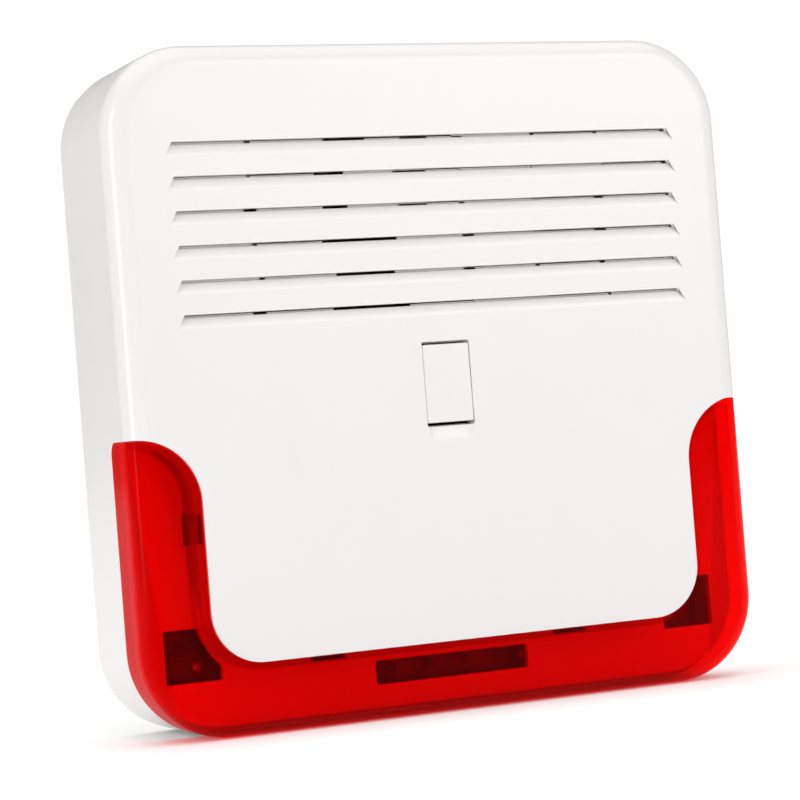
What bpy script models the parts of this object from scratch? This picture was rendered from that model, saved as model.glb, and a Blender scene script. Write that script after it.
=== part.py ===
"""Outdoor alarm siren with a strobe light, modelled as the pieces it comes apart into.

Metres, +Z up. The origin is the middle of the wall plane, Y = 0. The cover's front face is at
Y = -DEPTH, so -Y points away from the wall, towards the person who looks at the siren.
"""

import math

import bmesh
import bpy
from mathutils import Vector

# ---- driving dimensions ----
WIDTH = 0.230            # across, and from bottom to top
DEPTH = 0.054            # from the wall to the front face
CORNER_R = 0.030         # corners of the front view
EDGE_R = 0.008           # rounding between the front face and the sides
COVER_WALL = 0.0026
LENS_WALL = 0.0024
GAP = 0.0003             # between pieces that touch
COVER_REAR = -0.0005     # the cover's skirt stops just short of the wall

HALF = WIDTH / 2
FRONT = -DEPTH

# the U-shaped strobe window
BAND_X = 0.0915          # inner edge of the two arms
BAND_TOP = -0.0148       # top of the arms
BAND_BOTTOM = -0.0909    # inner edge of the bottom
BAND_FILLET = 0.0178     # inner corners of the U
BAND_SHOULDER = 0.0217   # round shoulder at the top of each arm
CHANNEL_FLOOR = FRONT + 0.0145
LENS_BACK = FRONT + 0.0214
CORE_INSET = LENS_WALL + 0.0005

# louvres
LOUVRES = 6
LOUVRE_TOP = 0.0823
LOUVRE_PITCH = 0.01145
LOUVRE_HALF = 0.0928
LOUVRE_SLOT = 0.0013
LOUVRE_DROP = 0.0048
LOUVRE_DEPTH = 0.0017
LOUVRE_FLARE = 0.55      # how far the ends spread for each unit of drop

# flap over the cover screw
FLAP_W = 0.0175
FLAP_H = 0.0268
FLAP_T = 0.0020
FLAP_Z = -0.0031         # middle of its pocket
POCKET_W = 0.0181
POCKET_H = 0.0290
POCKET_DEPTH = 0.0036
FLAP_PIN_R = 0.0009
FLAP_AXIS_Y = FRONT + 0.0013
FLAP_TOP = FLAP_Z + POCKET_H / 2 - 0.0010
FLAP_AXIS_Z = FLAP_TOP - 0.0013

# hinge of the cover, at the top of the base
HINGE_Y = -0.0080
HINGE_Z = 0.1095
HINGE_X = 0.060
KNUCKLE_R = 0.0026
HINGE_PIN_R = 0.0012
HINGE_HOLE_R = 0.0015

# base
BASE_HALF = HALF - COVER_WALL - 0.0007
BASE_TOP = 0.1035
BASE_T = 0.0030
RIM_T = 0.0020
RIM_FRONT = -0.0140
FLOOR = -BASE_T          # the base's inner face
CABLE_X, CABLE_Z = -0.074, -0.050
CABLE_HOLE_R = 0.0070

# cover screw
SCREW_X, SCREW_Z = 0.0, -0.0030
SCREW_SHANK_R = 0.0020
SCREW_HEAD_R = 0.0038
SCREW_SEAT = -0.0439
SCREW_HEAD_T = 0.0026
SCREW_TIP = -0.0060
BOSS_END = -0.0140       # end of the cover's screw boss
SCREW_POST_TOP = -0.0112
RING_FRONT = -0.0136     # the retaining ring, which moves out with the screw
RING_R = 0.0036
RING_STOP = -0.0184      # shoulder in the boss that stops the ring

# circuit board
BOARD_X = 0.082
BOARD_LOW, BOARD_HIGH = -0.021, 0.015
BOARD_BACK = -0.0107
BOARD_T = 0.0016
BOARD_FRONT = BOARD_BACK - BOARD_T
BOARD_HOLES = [(-0.078, -0.017), (0.078, -0.017), (-0.078, 0.011), (0.078, 0.011)]

# siren horn
HORN_Z = 0.060
CAN_R = 0.023
CAN_FRONT = -0.020
HORN_MOUTH = -0.0470
HORN_THROAT_R = 0.0090
HORN_MOUTH_R = 0.0390
HORN_WALL = 0.0016
EAR_AT = 0.030
EAR_BACK = -0.0083
EAR_T = 0.0030

# battery
BATTERY_X = 0.0485
BATTERY_LOW, BATTERY_HIGH = -0.084, -0.032
BATTERY_FRONT = -0.0463
CLAMP_Z = -0.058
CLAMP_POST_X = 0.056
CLAMP_T = 0.0012

# strobe boards
STROBE_BACK = -0.0280
STROBE_T = 0.0016
STROBE_FRONT = STROBE_BACK - STROBE_T
CENTRE_BOARD_X = 0.036
CENTRE_BOARD_Z = (-0.107, -0.093)
CENTRE_POST_X = 0.032
CENTRE_POST_Z = -0.100
CORNER_BOARD_X = (0.086, 0.103)
CORNER_BOARD_Z = (-0.096, -0.076)
CORNER_POST = (0.090, -0.092)
CORNER_LED = (0.0970, -0.0855)
CENTRE_LEDS = (-0.021, -0.007, 0.007, 0.021)
LED_R = 0.0025

# tamper switches
COVER_TAMPER = (0.0425, -0.0145)
COVER_TAMPER_TIP = -0.0260
WALL_TAMPER = (0.075, -0.048)
WALL_TAMPER_REACH = 0.0025
GUIDE_TOP = -0.0140

SMALL_POST_R = 0.0030
PILOT_R = 0.0013


# ---- mesh helpers ----

def closed_mesh(name, rings, smooth_angle=30):
    """A solid skinned over rings of equal point count, with the first and last ring capped."""
    mesh = bmesh.new()
    loops = [[mesh.verts.new(point) for point in ring] for ring in rings]
    for first, second in zip(loops, loops[1:]):
        count = len(first)
        for i in range(count):
            j = (i + 1) % count
            mesh.faces.new((first[i], first[j], second[j], second[i]))
    mesh.faces.new(loops[0])
    mesh.faces.new(loops[-1])
    return finish_mesh(name, mesh, smooth_angle)


def finish_mesh(name, mesh, smooth_angle=30):
    bmesh.ops.recalc_face_normals(mesh, faces=mesh.faces)
    data = bpy.data.meshes.new(name)
    mesh.to_mesh(data)
    mesh.free()
    data.shade_smooth()
    data.set_sharp_from_angle(angle=math.radians(smooth_angle))
    return data


def merged(name, meshes):
    """Several closed shapes that don't touch, in one mesh."""
    mesh = bmesh.new()
    for data in meshes:
        mesh.from_mesh(data)
    return finish_mesh(name, mesh)


def arc(x, z, radius, start, end, steps):
    angles = [math.radians(start + (end - start) * i / steps) for i in range(steps + 1)]
    return [(x + radius * math.cos(a), z + radius * math.sin(a)) for a in angles]


def rounded(x0, x1, z0, z1, radius, steps):
    """A rectangle with round corners, anticlockwise in the XZ plane."""
    return (arc(x1 - radius, z1 - radius, radius, 0, 90, steps)
            + arc(x0 + radius, z1 - radius, radius, 90, 180, steps)
            + arc(x0 + radius, z0 + radius, radius, 180, 270, steps)
            + arc(x1 - radius, z0 + radius, radius, 270, 360, steps))


def circle(x, z, radius, sides):
    return arc(x, z, radius, 0, 360 * (sides - 1) / sides, sides - 1)


def capsule(x0, z0, x1, z1, radius, steps=5):
    """The outline round a straight slot or lobe from one point to another."""
    turn = math.degrees(math.atan2(z1 - z0, x1 - x0))
    return (arc(x1, z1, radius, turn - 90, turn + 90, steps)
            + arc(x0, z0, radius, turn + 90, turn + 270, steps))


def prism(name, outline, y0, y1):
    """An XZ outline carried along Y."""
    return closed_mesh(name, [[(x, y, z) for x, z in outline] for y in (y0, y1)])


def slab(name, outline, x0, x1):
    """A YZ outline carried along X."""
    return closed_mesh(name, [[(x, y, z) for y, z in outline] for x in (x0, x1)])


def block(name, xs, ys, zs):
    return prism(name, [(xs[0], zs[0]), (xs[1], zs[0]), (xs[1], zs[1]), (xs[0], zs[1])], *ys)


def turned(name, x, z, profile, sides):
    """A solid of revolution about a line along Y: the profile is a closed list of (radius, y)."""
    mesh = bmesh.new()
    loops = []
    for radius, y in profile:
        if radius == 0:
            loops.append([mesh.verts.new((x, y, z))])
        else:
            loops.append([mesh.verts.new((px, y, pz)) for px, pz in circle(x, z, radius, sides)])
    pairs = list(zip(loops, loops[1:]))
    if profile[0][0] > 0:
        pairs.append((loops[-1], loops[0]))
    for first, second in pairs:
        for i in range(sides):
            j = (i + 1) % sides
            if len(first) == 1:
                mesh.faces.new((first[0], second[j], second[i]))
            elif len(second) == 1:
                mesh.faces.new((first[i], first[j], second[0]))
            else:
                mesh.faces.new((first[i], first[j], second[j], second[i]))
    return finish_mesh(name, mesh)


def material(name, colour, roughness, metallic=0.0):
    made = bpy.data.materials.new(name)
    made.use_nodes = True
    shader = made.node_tree.nodes["Principled BSDF"]
    shader.inputs["Base Color"].default_value = (*colour, 1.0)
    shader.inputs["Roughness"].default_value = roughness
    shader.inputs["Metallic"].default_value = metallic
    made.diffuse_color = (*colour, 1.0)
    return made


def place(thing, point, parent):
    """Puts an object's origin at a point of the siren, whatever empties carry it."""
    thing.parent = parent
    thing.location = point
    while parent is not None:
        thing.location -= parent.location
        parent = parent.parent


def piece(name, data, finish, parent=None, about=(0.0, 0.0, 0.0)):
    """A visible sub-part. about is the point its origin sits on, for a piece on a joint's axis."""
    thing = bpy.data.objects.new(name, data)
    bpy.context.scene.collection.objects.link(thing)
    data.name = name
    for vertex in data.vertices:
        vertex.co -= Vector(about)
    data.materials.clear()
    data.materials.append(finish)
    place(thing, about, parent)
    return thing


def helper(name, data):
    """A shape that only cuts or adds to another one, already in its place."""
    thing = bpy.data.objects.new(name, data)
    bpy.context.scene.collection.objects.link(thing)
    thing.hide_render = True
    thing.display_type = "WIRE"
    return thing


def combine(thing, operation, other):
    modifier = thing.modifiers.new(f"{operation.lower()} {other.name}", "BOOLEAN")
    modifier.operation = operation
    modifier.solver = "EXACT"
    modifier.object = other
    return thing


def pivot(name, point, parent=None):
    """An empty on a joint's axis, which carries the pieces that move together."""
    empty = bpy.data.objects.new(name, None)
    bpy.context.scene.collection.objects.link(empty)
    empty.empty_display_size = 0.01
    place(empty, point, parent)
    return empty


# ---- shared outlines ----

def body_outline(inset, steps=8):
    half = HALF - inset
    return rounded(-half, half, -half, half, CORNER_R - inset, steps)


def body_shape(name, inset, rear, steps=5):
    """The cover's outer form, or the same form taken inwards all over by inset."""
    radius = EDGE_R - inset
    rings = []
    for i in range(steps + 1):
        a = math.radians(90 * i / steps)
        y = FRONT + inset + radius * (1 - math.cos(a))
        rings.append([(x, y, z) for x, z in body_outline(inset + radius * (1 - math.sin(a)))])
    rings.append([(x, rear, z) for x, z in body_outline(inset)])
    return closed_mesh(name, rings)


def band_outline(grow):
    """The strobe window's U, running past the cover on its outer sides. grow widens it inwards."""
    out = HALF + 0.010
    inner = BAND_X - grow
    bottom = BAND_BOTTOM + grow
    fillet = BAND_FILLET - grow
    shoulder = BAND_SHOULDER + grow
    centre_x = BAND_X + BAND_SHOULDER
    centre_z = BAND_TOP - BAND_SHOULDER
    right = ([(out, -out), (out, BAND_TOP + grow)]
             + arc(centre_x, centre_z, shoulder, 90, 180, 7)
             + arc(inner - fillet, bottom + fillet, fillet, 0, -90, 6))
    return right + [(-x, z) for x, z in reversed(right)]


# ---- materials ----

def make_materials():
    return {
        "cover_plastic": material("cover_plastic", (0.85, 0.85, 0.83), 0.30),
        "base_plastic": material("base_plastic", (0.80, 0.80, 0.78), 0.45),
        "strobe_plastic": material("strobe_plastic", (0.62, 0.010, 0.012), 0.12),
        "steel": material("steel", (0.62, 0.61, 0.58), 0.32, 1.0),
        "brass": material("brass", (0.80, 0.62, 0.30), 0.35, 1.0),
        "rubber": material("rubber", (0.02, 0.02, 0.02), 0.75),
        "black_plastic": material("black_plastic", (0.02, 0.02, 0.022), 0.45),
        "circuit_board": material("circuit_board", (0.02, 0.16, 0.06), 0.40),
        "terminal_plastic": material("terminal_plastic", (0.02, 0.22, 0.10), 0.45),
        "battery_case": material("battery_case", (0.06, 0.065, 0.07), 0.50),
        "led_lens": material("led_lens", (0.85, 0.85, 0.85), 0.10),
        "lead_red": material("lead_red", (0.55, 0.02, 0.02), 0.45),
        "lead_black": material("lead_black", (0.02, 0.02, 0.02), 0.45),
        "capacitor_sleeve": material("capacitor_sleeve", (0.03, 0.05, 0.16), 0.40),
    }


# ---- cover ----

def louvre(index):
    """One ramp with its slot: it is deepest at the top and runs out to the face at the bottom."""
    top = LOUVRE_TOP - LOUVRE_PITCH * index
    slot = top - LOUVRE_SLOT
    foot = top - LOUVRE_DROP
    section = [(FRONT - 0.001, top), (FRONT - 0.001, foot), (FRONT, foot),
               (FRONT + LOUVRE_DEPTH, slot), (FRONT + 0.004, slot), (FRONT + 0.004, top)]
    rings = []
    for side in (-1, 1):
        rings.append([(side * (LOUVRE_HALF + LOUVRE_FLARE * (top - z)), y, z) for y, z in section])
    return closed_mesh(f"louvre_{index}", rings)


def knuckle(name, x0, x1, far, tail=()):
    """A hinge knuckle: a half round about the hinge axis with straight sides up or down to far."""
    up = far > HINGE_Z
    turn = (180, 360) if up else (0, 180)
    outline = arc(HINGE_Y, HINGE_Z, KNUCKLE_R, *turn, 8)
    ends = [(HINGE_Y + KNUCKLE_R, far), (HINGE_Y - KNUCKLE_R, far)] if up else []
    return slab(name, outline + ends + list(tail), x0, x1)


def lens_hooks(clear):
    """Four snap hooks on the lens, or with clear > 0 the notches that take them."""
    front = CHANNEL_FLOOR - 0.0015 - clear
    back = CHANNEL_FLOOR + COVER_WALL + 0.0012 + clear
    side = [(BAND_X + GAP - clear, BAND_X + 0.0024 + clear), (-0.0505 - clear, -0.0405 + clear)]
    low = (BAND_BOTTOM - 0.0024 - clear, BAND_BOTTOM - GAP + clear)
    hooks = []
    for sign in (-1, 1):
        xs = sorted(sign * x for x in side[0])
        hooks.append(block("hook", xs, (front, back), side[1]))
        xs = sorted(sign * x for x in (0.040 - clear, 0.052 + clear))
        hooks.append(block("hook", xs, (front, back), low))
    return merged("lens_hooks", hooks)


def channel(name, grow, inset, floor, back):
    """The space in front of the channel floor and outside the core that the lens slides over."""
    space = helper(name, prism(name, band_outline(grow), FRONT - 0.010, back))
    core = helper(name + "_core", prism(name + "_core", body_outline(inset), floor, 0.010))
    return combine(space, "DIFFERENCE", core)


def make_cover(finish, parent):
    cover = piece("front_cover", body_shape("front_cover", 0.0, COVER_REAR), finish, parent)
    combine(cover, "DIFFERENCE", channel("channel_space", 0.0, CORE_INSET, CHANNEL_FLOOR, LENS_BACK))

    hollow = helper("cover_hollow", body_shape("cover_hollow", COVER_WALL, 0.010, 3))
    combine(hollow, "DIFFERENCE", channel("channel_wall", COVER_WALL, CORE_INSET + COVER_WALL,
                                          CHANNEL_FLOOR + COVER_WALL, LENS_BACK + COVER_WALL))
    combine(cover, "DIFFERENCE", hollow)

    ears = [knuckle("ear", sign * HINGE_X - 0.0017, sign * HINGE_X + 0.0017, HALF - 0.001)
            for sign in (-1, 1)]
    inner = FRONT + COVER_WALL - 0.001
    pad = block("flap_pad", (-0.0125, 0.0125), (inner, FRONT + POCKET_DEPTH + 0.002),
                (FLAP_Z - POCKET_H / 2 - 0.003, FLAP_Z + POCKET_H / 2 + 0.003))
    press = prism("tamper_press", circle(*COVER_TAMPER, 0.0025, 8), inner, COVER_TAMPER_TIP - GAP)
    combine(cover, "UNION", helper("cover_features", merged("cover_features", ears + [pad, press])))
    boss = prism("screw_boss", circle(SCREW_X, SCREW_Z, 0.0066, 16), inner, BOSS_END)
    combine(cover, "UNION", helper("screw_boss", boss))

    cuts = [louvre(i) for i in range(LOUVRES)]
    cuts.append(block("flap_pocket", (-POCKET_W / 2, POCKET_W / 2),
                      (FRONT - 0.002, FRONT + POCKET_DEPTH),
                      (FLAP_Z - POCKET_H / 2, FLAP_Z + POCKET_H / 2)))
    through = (CHANNEL_FLOOR - 0.002, CHANNEL_FLOOR + 0.0042)
    cuts.append(block("centre_window", (-0.029, 0.029), through, (-0.1043, -0.0960)))
    for sign in (-1, 1):
        xs = sorted((sign * 0.0905, sign * 0.1030))
        cuts.append(block("corner_window", xs, through, (-0.0925, -0.0800)))
    cuts.append(block("skirt_trim", (-0.2, 0.2), (-0.003, 0.005), (0.1045, 0.2)))
    combine(cover, "DIFFERENCE", helper("cover_cuts", merged("cover_cuts", cuts)))
    combine(cover, "DIFFERENCE", helper("hook_notches", lens_hooks(0.0005)))

    bore = turned("screw_bore", SCREW_X, SCREW_Z, [
        (0, FRONT), (0.0044, FRONT), (0.0044, SCREW_SEAT + GAP), (0.0025, SCREW_SEAT + GAP),
        (0.0025, RING_STOP), (RING_R + 0.0006, RING_STOP), (RING_R + 0.0006, 0.010), (0, 0.010)], 16)
    combine(cover, "DIFFERENCE", helper("screw_bore", bore))
    fine = [slab("pin_hole", circle(HINGE_Y, HINGE_Z, HINGE_HOLE_R, 10),
                 sign * HINGE_X - 0.003, sign * HINGE_X + 0.003) for sign in (-1, 1)]
    fine.append(slab("flap_pin_hole", circle(FLAP_AXIS_Y, FLAP_AXIS_Z, 0.0013, 8), -0.0108, 0.0108))
    fine.append(slab("nail_scoop", circle(FRONT - 0.0052, FLAP_Z - POCKET_H / 2 - 0.0006, 0.0066, 18),
                     -0.0045, 0.0045))
    combine(cover, "DIFFERENCE", helper("fine_cuts", merged("fine_cuts", fine)))
    return cover


def make_lens(finish, parent):
    lens = piece("strobe_lens", body_shape("strobe_lens", 0.0, LENS_BACK - GAP), finish, parent)
    window = prism("lens_window", band_outline(-0.00025), FRONT - 0.01, 0.01)
    combine(lens, "INTERSECT", helper("lens_window", window))
    hollow = helper("lens_hollow", body_shape("lens_hollow", LENS_WALL, 0.010, 4))
    inside = prism("lens_inside", band_outline(-0.0024), FRONT - 0.01, 0.02)
    combine(hollow, "INTERSECT", helper("lens_inside", inside))
    combine(lens, "DIFFERENCE", hollow)
    behind = prism("behind_floor", body_outline(LENS_WALL), CHANNEL_FLOOR - GAP, 0.01)
    combine(lens, "DIFFERENCE", helper("behind_floor", behind))
    combine(lens, "UNION", helper("lens_hooks", lens_hooks(0.0)))
    return lens


def make_flap(finish, parent):
    about = (0.0, FLAP_AXIS_Y, FLAP_AXIS_Z)
    edge = 0.0007
    low = FLAP_TOP - FLAP_H
    back = FRONT + FLAP_T
    section = [(back, low), (back, FLAP_TOP), (FRONT + edge, FLAP_TOP), (FRONT, FLAP_TOP - edge),
               (FRONT, low + edge), (FRONT + edge, low)]
    flap = piece("screw_flap", slab("screw_flap", section, -FLAP_W / 2, FLAP_W / 2),
                 finish, parent, about)
    pins = slab("flap_pins", circle(FLAP_AXIS_Y, FLAP_AXIS_Z, FLAP_PIN_R, 8), -0.0103, 0.0103)
    return combine(flap, "UNION", helper("flap_pins", pins))


def make_cover_screw(finish, ring_finish, slide):
    """The captive screw, with its cross recess, and the ring that keeps it in the cover."""
    seat = SCREW_SEAT
    top = seat - SCREW_HEAD_T
    shank = turned("cover_screw", SCREW_X, SCREW_Z, [
        (0, top), (SCREW_HEAD_R - 0.0005, top), (SCREW_HEAD_R, top + 0.0005), (SCREW_HEAD_R, seat),
        (SCREW_SHANK_R, seat), (SCREW_SHANK_R, SCREW_TIP - 0.001), (0.0012, SCREW_TIP),
        (0, SCREW_TIP)], 16)
    about = (SCREW_X, seat, SCREW_Z)
    screw = piece("cover_screw", shank, finish, slide, about)
    long, thin = 0.0024, 0.0005
    cross = []
    for wide, tall in ((long, thin), (thin, long)):
        cross.append(helper("recess", block("recess", (SCREW_X - wide, SCREW_X + wide),
                                            (top - 0.001, top + 0.0016),
                                            (SCREW_Z - tall, SCREW_Z + tall))))
    for recess in cross:
        combine(screw, "DIFFERENCE", recess)
    inner, ring_back = SCREW_SHANK_R + GAP, RING_FRONT + 0.0009
    ring = turned("retaining_ring", SCREW_X, SCREW_Z, [
        (inner, RING_FRONT), (inner, ring_back), (RING_R, ring_back), (RING_R, RING_FRONT)], 14)
    piece("retaining_ring", ring, ring_finish, slide, (SCREW_X, RING_FRONT, SCREW_Z))
    return screw


# ---- base ----

def ear_points():
    return [(EAR_AT * math.cos(math.radians(a)), HORN_Z + EAR_AT * math.sin(math.radians(a)))
            for a in (90, 210, 330)]


def strobe_posts():
    return [(-CENTRE_POST_X, CENTRE_POST_Z), (CENTRE_POST_X, CENTRE_POST_Z),
            (-CORNER_POST[0], CORNER_POST[1]), CORNER_POST]


def make_base(finish):
    radius = CORNER_R - COVER_WALL - 0.0007
    outline = rounded(-BASE_HALF, BASE_HALF, -BASE_HALF, BASE_TOP, radius, 8)
    base = piece("back_plate", prism("back_plate", outline, RIM_FRONT, 0.0), finish)
    well = rounded(-BASE_HALF + RIM_T, BASE_HALF - RIM_T, -BASE_HALF + RIM_T, BASE_TOP - RIM_T,
                   radius - RIM_T, 8)
    combine(base, "DIFFERENCE", helper("base_well", prism("base_well", well, -0.02, FLOOR)))

    root = FLOOR + 0.001
    posts = [(x, z, SMALL_POST_R, BOARD_BACK + GAP) for x, z in BOARD_HOLES]
    posts += [(x, z, SMALL_POST_R, STROBE_BACK + GAP) for x, z in strobe_posts()]
    posts += [(x, z, 0.0035, EAR_BACK + GAP) for x, z in ear_points()]
    posts += [(sign * CLAMP_POST_X, CLAMP_Z, 0.0040, EAR_BACK + GAP) for sign in (-1, 1)]
    solids = [prism("post", circle(x, z, r, 10), top, root) for x, z, r, top in posts]
    solids.append(prism("screw_post", circle(SCREW_X, SCREW_Z, 0.0060, 16), SCREW_POST_TOP, root))
    solids.append(prism("plunger_guide", circle(*WALL_TAMPER, 0.0058, 16), GUIDE_TOP, root))
    tail = [(HINGE_Y - KNUCKLE_R, 0.095), (FLOOR + 0.0008, 0.095), (FLOOR + 0.0008, 0.103),
            (HINGE_Y + KNUCKLE_R, 0.103)]
    for sign in (-1, 1):
        for x0 in (-0.0052, 0.0022):
            start = sign * HINGE_X + x0
            solids.append(knuckle("lug", start, start + 0.0030, 0.095, tail))
        xs = sorted((sign * (BATTERY_X + 0.0006), sign * (BATTERY_X + 0.0026)))
        solids.append(block("rib", xs, (-0.012, root), (-0.082, -0.068)))
        solids.append(block("rib", xs, (-0.012, root), (-0.046, -0.034)))
    solids.append(block("rib", (-0.040, 0.040), (-0.012, root),
                        (BATTERY_LOW - 0.0026, BATTERY_LOW - 0.0006)))
    combine(base, "UNION", helper("base_solids", merged("base_solids", solids)))

    holes = [prism("pilot", circle(x, z, PILOT_R, 8), top - 0.002, min(top + 0.0065, -0.001))
             for x, z, r, top in posts]
    holes += [prism("wall_fixing", circle(x, z, 0.00275, 12), -0.02, 0.01)
              for x, z in ((-0.088, 0.084), (0.088, 0.084), (-0.062, -0.098), (0.062, -0.098))]
    holes.append(prism("cable_hole", circle(CABLE_X, CABLE_Z, CABLE_HOLE_R, 20), -0.02, 0.01))
    holes.append(prism("screw_hole", circle(SCREW_X, SCREW_Z, 0.0026, 12), -0.02, -0.0045))
    holes.append(turned("plunger_bore", *WALL_TAMPER, [
        (0, GUIDE_TOP - 0.001), (0.0045, GUIDE_TOP - 0.001), (0.0045, -0.0020), (0.0033, -0.0020),
        (0.0033, 0.001), (0, 0.001)], 16))
    holes += [slab("hinge_bore", circle(HINGE_Y, HINGE_Z, HINGE_HOLE_R, 10),
                   sign * HINGE_X - 0.007, sign * HINGE_X + 0.007) for sign in (-1, 1)]
    combine(base, "DIFFERENCE", helper("base_holes", merged("base_holes", holes)))
    return base


def make_hinge_pins(finish):
    for name, sign in (("hinge_pin_left", -1), ("hinge_pin_right", 1)):
        outline = circle(HINGE_Y, HINGE_Z, HINGE_PIN_R, 10)
        piece(name, slab(name, outline, sign * HINGE_X - 0.0056, sign * HINGE_X + 0.0056), finish)


def make_grommet(finish):
    neck = CABLE_HOLE_R - GAP
    piece("cable_grommet", turned("cable_grommet", CABLE_X, CABLE_Z, [
        (0.0040, -0.0056), (0.0040, -0.0003), (neck, -0.0003), (neck, FLOOR - GAP),
        (0.0096, FLOOR - GAP), (0.0092, -0.0048), (0.0060, -0.0056)], 20), finish)


def make_screw(name, x, z, seat, length, finish):
    """A pan-head screw whose head bears on seat."""
    top = seat - GAP - 0.0016
    piece(name, turned(name, x, z, [
        (0, top), (0.0015, top), (0.0024, top + 0.0007), (0.0024, top + 0.0016),
        (0.0009, top + 0.0016), (0.0009, seat + length), (0, seat + length + 0.0006)], 10), finish)


def make_control_board(finishes):
    outline = rounded(-BOARD_X, BOARD_X, BOARD_LOW, BOARD_HIGH, 0.002, 2)
    board = piece("control_board", prism("control_board", outline, BOARD_FRONT, BOARD_BACK),
                  finishes["circuit_board"])
    holes = [prism("hole", circle(x, z, 0.0015, 8), -0.02, 0.0) for x, z in BOARD_HOLES]
    holes.append(prism("hole", circle(SCREW_X, SCREW_Z, 0.0072, 16), -0.02, 0.0))
    combine(board, "DIFFERENCE", helper("board_holes", merged("board_holes", holes)))
    for i, (x, z) in enumerate(BOARD_HOLES, 1):
        make_screw(f"board_screw_{i}", x, z, BOARD_FRONT, 0.0045, finishes["steel"])

    face = BOARD_FRONT - GAP
    chamfer = [(face, 0.002), (face, 0.012), (-0.0175, 0.012), (-0.0235, 0.0095), (-0.0235, 0.002)]
    terminals = piece("terminal_block", slab("terminal_block", chamfer, -0.071, -0.041),
                      finishes["terminal_plastic"])
    wells = [prism("well", circle(-0.0685 + 0.005 * i, 0.0058, 0.0016, 8), -0.03, -0.0205)
             for i in range(6)]
    combine(terminals, "DIFFERENCE", helper("terminal_wells", merged("terminal_wells", wells)))
    boxes = (
        ("microcontroller", (-0.060, -0.048), -0.0146, (-0.016, -0.006), "black_plastic"),
        ("driver_transformer", (0.018, 0.034), -0.0270, (-0.004, 0.011), "black_plastic"),
        ("battery_connector", (0.052, 0.062), -0.0200, (0.004, 0.010), "led_lens"),
        ("strobe_connector_left", (-0.074, -0.066), -0.0190, (-0.014, -0.008), "led_lens"),
        ("strobe_connector_right", (0.066, 0.074), -0.0190, (-0.014, -0.008), "led_lens"),
    )
    for name, xs, front, zs, finish in boxes:
        rim = rounded(*xs, *zs, 0.0008, 2)
        piece(name, prism(name, rim, front, face), finishes[finish])
    for name, x, z in (("capacitor_1", -0.024, -0.012), ("capacitor_2", -0.024, 0.003)):
        piece(name, turned(name, x, z, [
            (0, -0.0278), (0.0038, -0.0278), (0.0042, -0.0284), (0.0050, -0.0278),
            (0.0050, face), (0, face)], 14), finishes["capacitor_sleeve"])


def horn_radius(y):
    """Inner radius of the flare, which opens ever faster towards the mouth."""
    share = (y - CAN_FRONT) / (HORN_MOUTH - CAN_FRONT)
    return HORN_THROAT_R * (HORN_MOUTH_R / HORN_THROAT_R) ** share


def make_siren(finishes):
    can = piece("siren_driver", turned("siren_driver", 0.0, HORN_Z, [
        (0, FLOOR - GAP), (CAN_R - 0.001, FLOOR - GAP), (CAN_R, FLOOR - 0.0013), (CAN_R, CAN_FRONT),
        (CAN_R - 0.002, CAN_FRONT), (CAN_R - 0.002, -0.0060), (0, -0.0060)], 24),
        finishes["black_plastic"])
    ears, holes = [], []
    for x, z in ear_points():
        start = Vector((x, z - HORN_Z)) * 0.87
        ears.append(prism("ear", capsule(start.x, start.y + HORN_Z, x, z, 0.0042), EAR_BACK - EAR_T,
                          EAR_BACK))
        holes.append(prism("hole", circle(x, z, 0.0015, 8), -0.02, 0.0))
    combine(can, "UNION", helper("driver_ears", merged("driver_ears", ears)))
    combine(can, "DIFFERENCE", helper("driver_ear_holes", merged("driver_ear_holes", holes)))
    for i, (x, z) in enumerate(ear_points(), 1):
        make_screw(f"siren_screw_{i}", x, z, EAR_BACK - EAR_T, 0.0060, finishes["steel"])

    piece("siren_diaphragm", turned("siren_diaphragm", 0.0, HORN_Z, [
        (0, -0.0180), (0.0100, -0.0172), (0.0205, -0.0165), (0.0205, -0.0160), (0.0100, -0.0167),
        (0, -0.0175)], 20), finishes["brass"])

    steps = 7
    start = CAN_FRONT - GAP
    ys = [start + (HORN_MOUTH - start) * i / steps for i in range(steps + 1)]
    inner = [(horn_radius(y), y) for y in ys]
    outer = [(horn_radius(y) + HORN_WALL, y) for y in ys if y < start - 0.003]
    lip = [(HORN_MOUTH_R + 0.0030, HORN_MOUTH), (HORN_MOUTH_R + 0.0030, HORN_MOUTH + 0.0014)]
    outer[-1] = (HORN_MOUTH_R + HORN_WALL - 0.0010, HORN_MOUTH + 0.0014)
    flange = [(CAN_R, start - 0.0025), (CAN_R, start)]
    profile = inner + lip + outer[::-1] + [(horn_radius(ys[0]) + 0.0030, start - 0.0025)] + flange
    piece("siren_horn", turned("siren_horn", 0.0, HORN_Z, profile, 28), finishes["black_plastic"])


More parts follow.
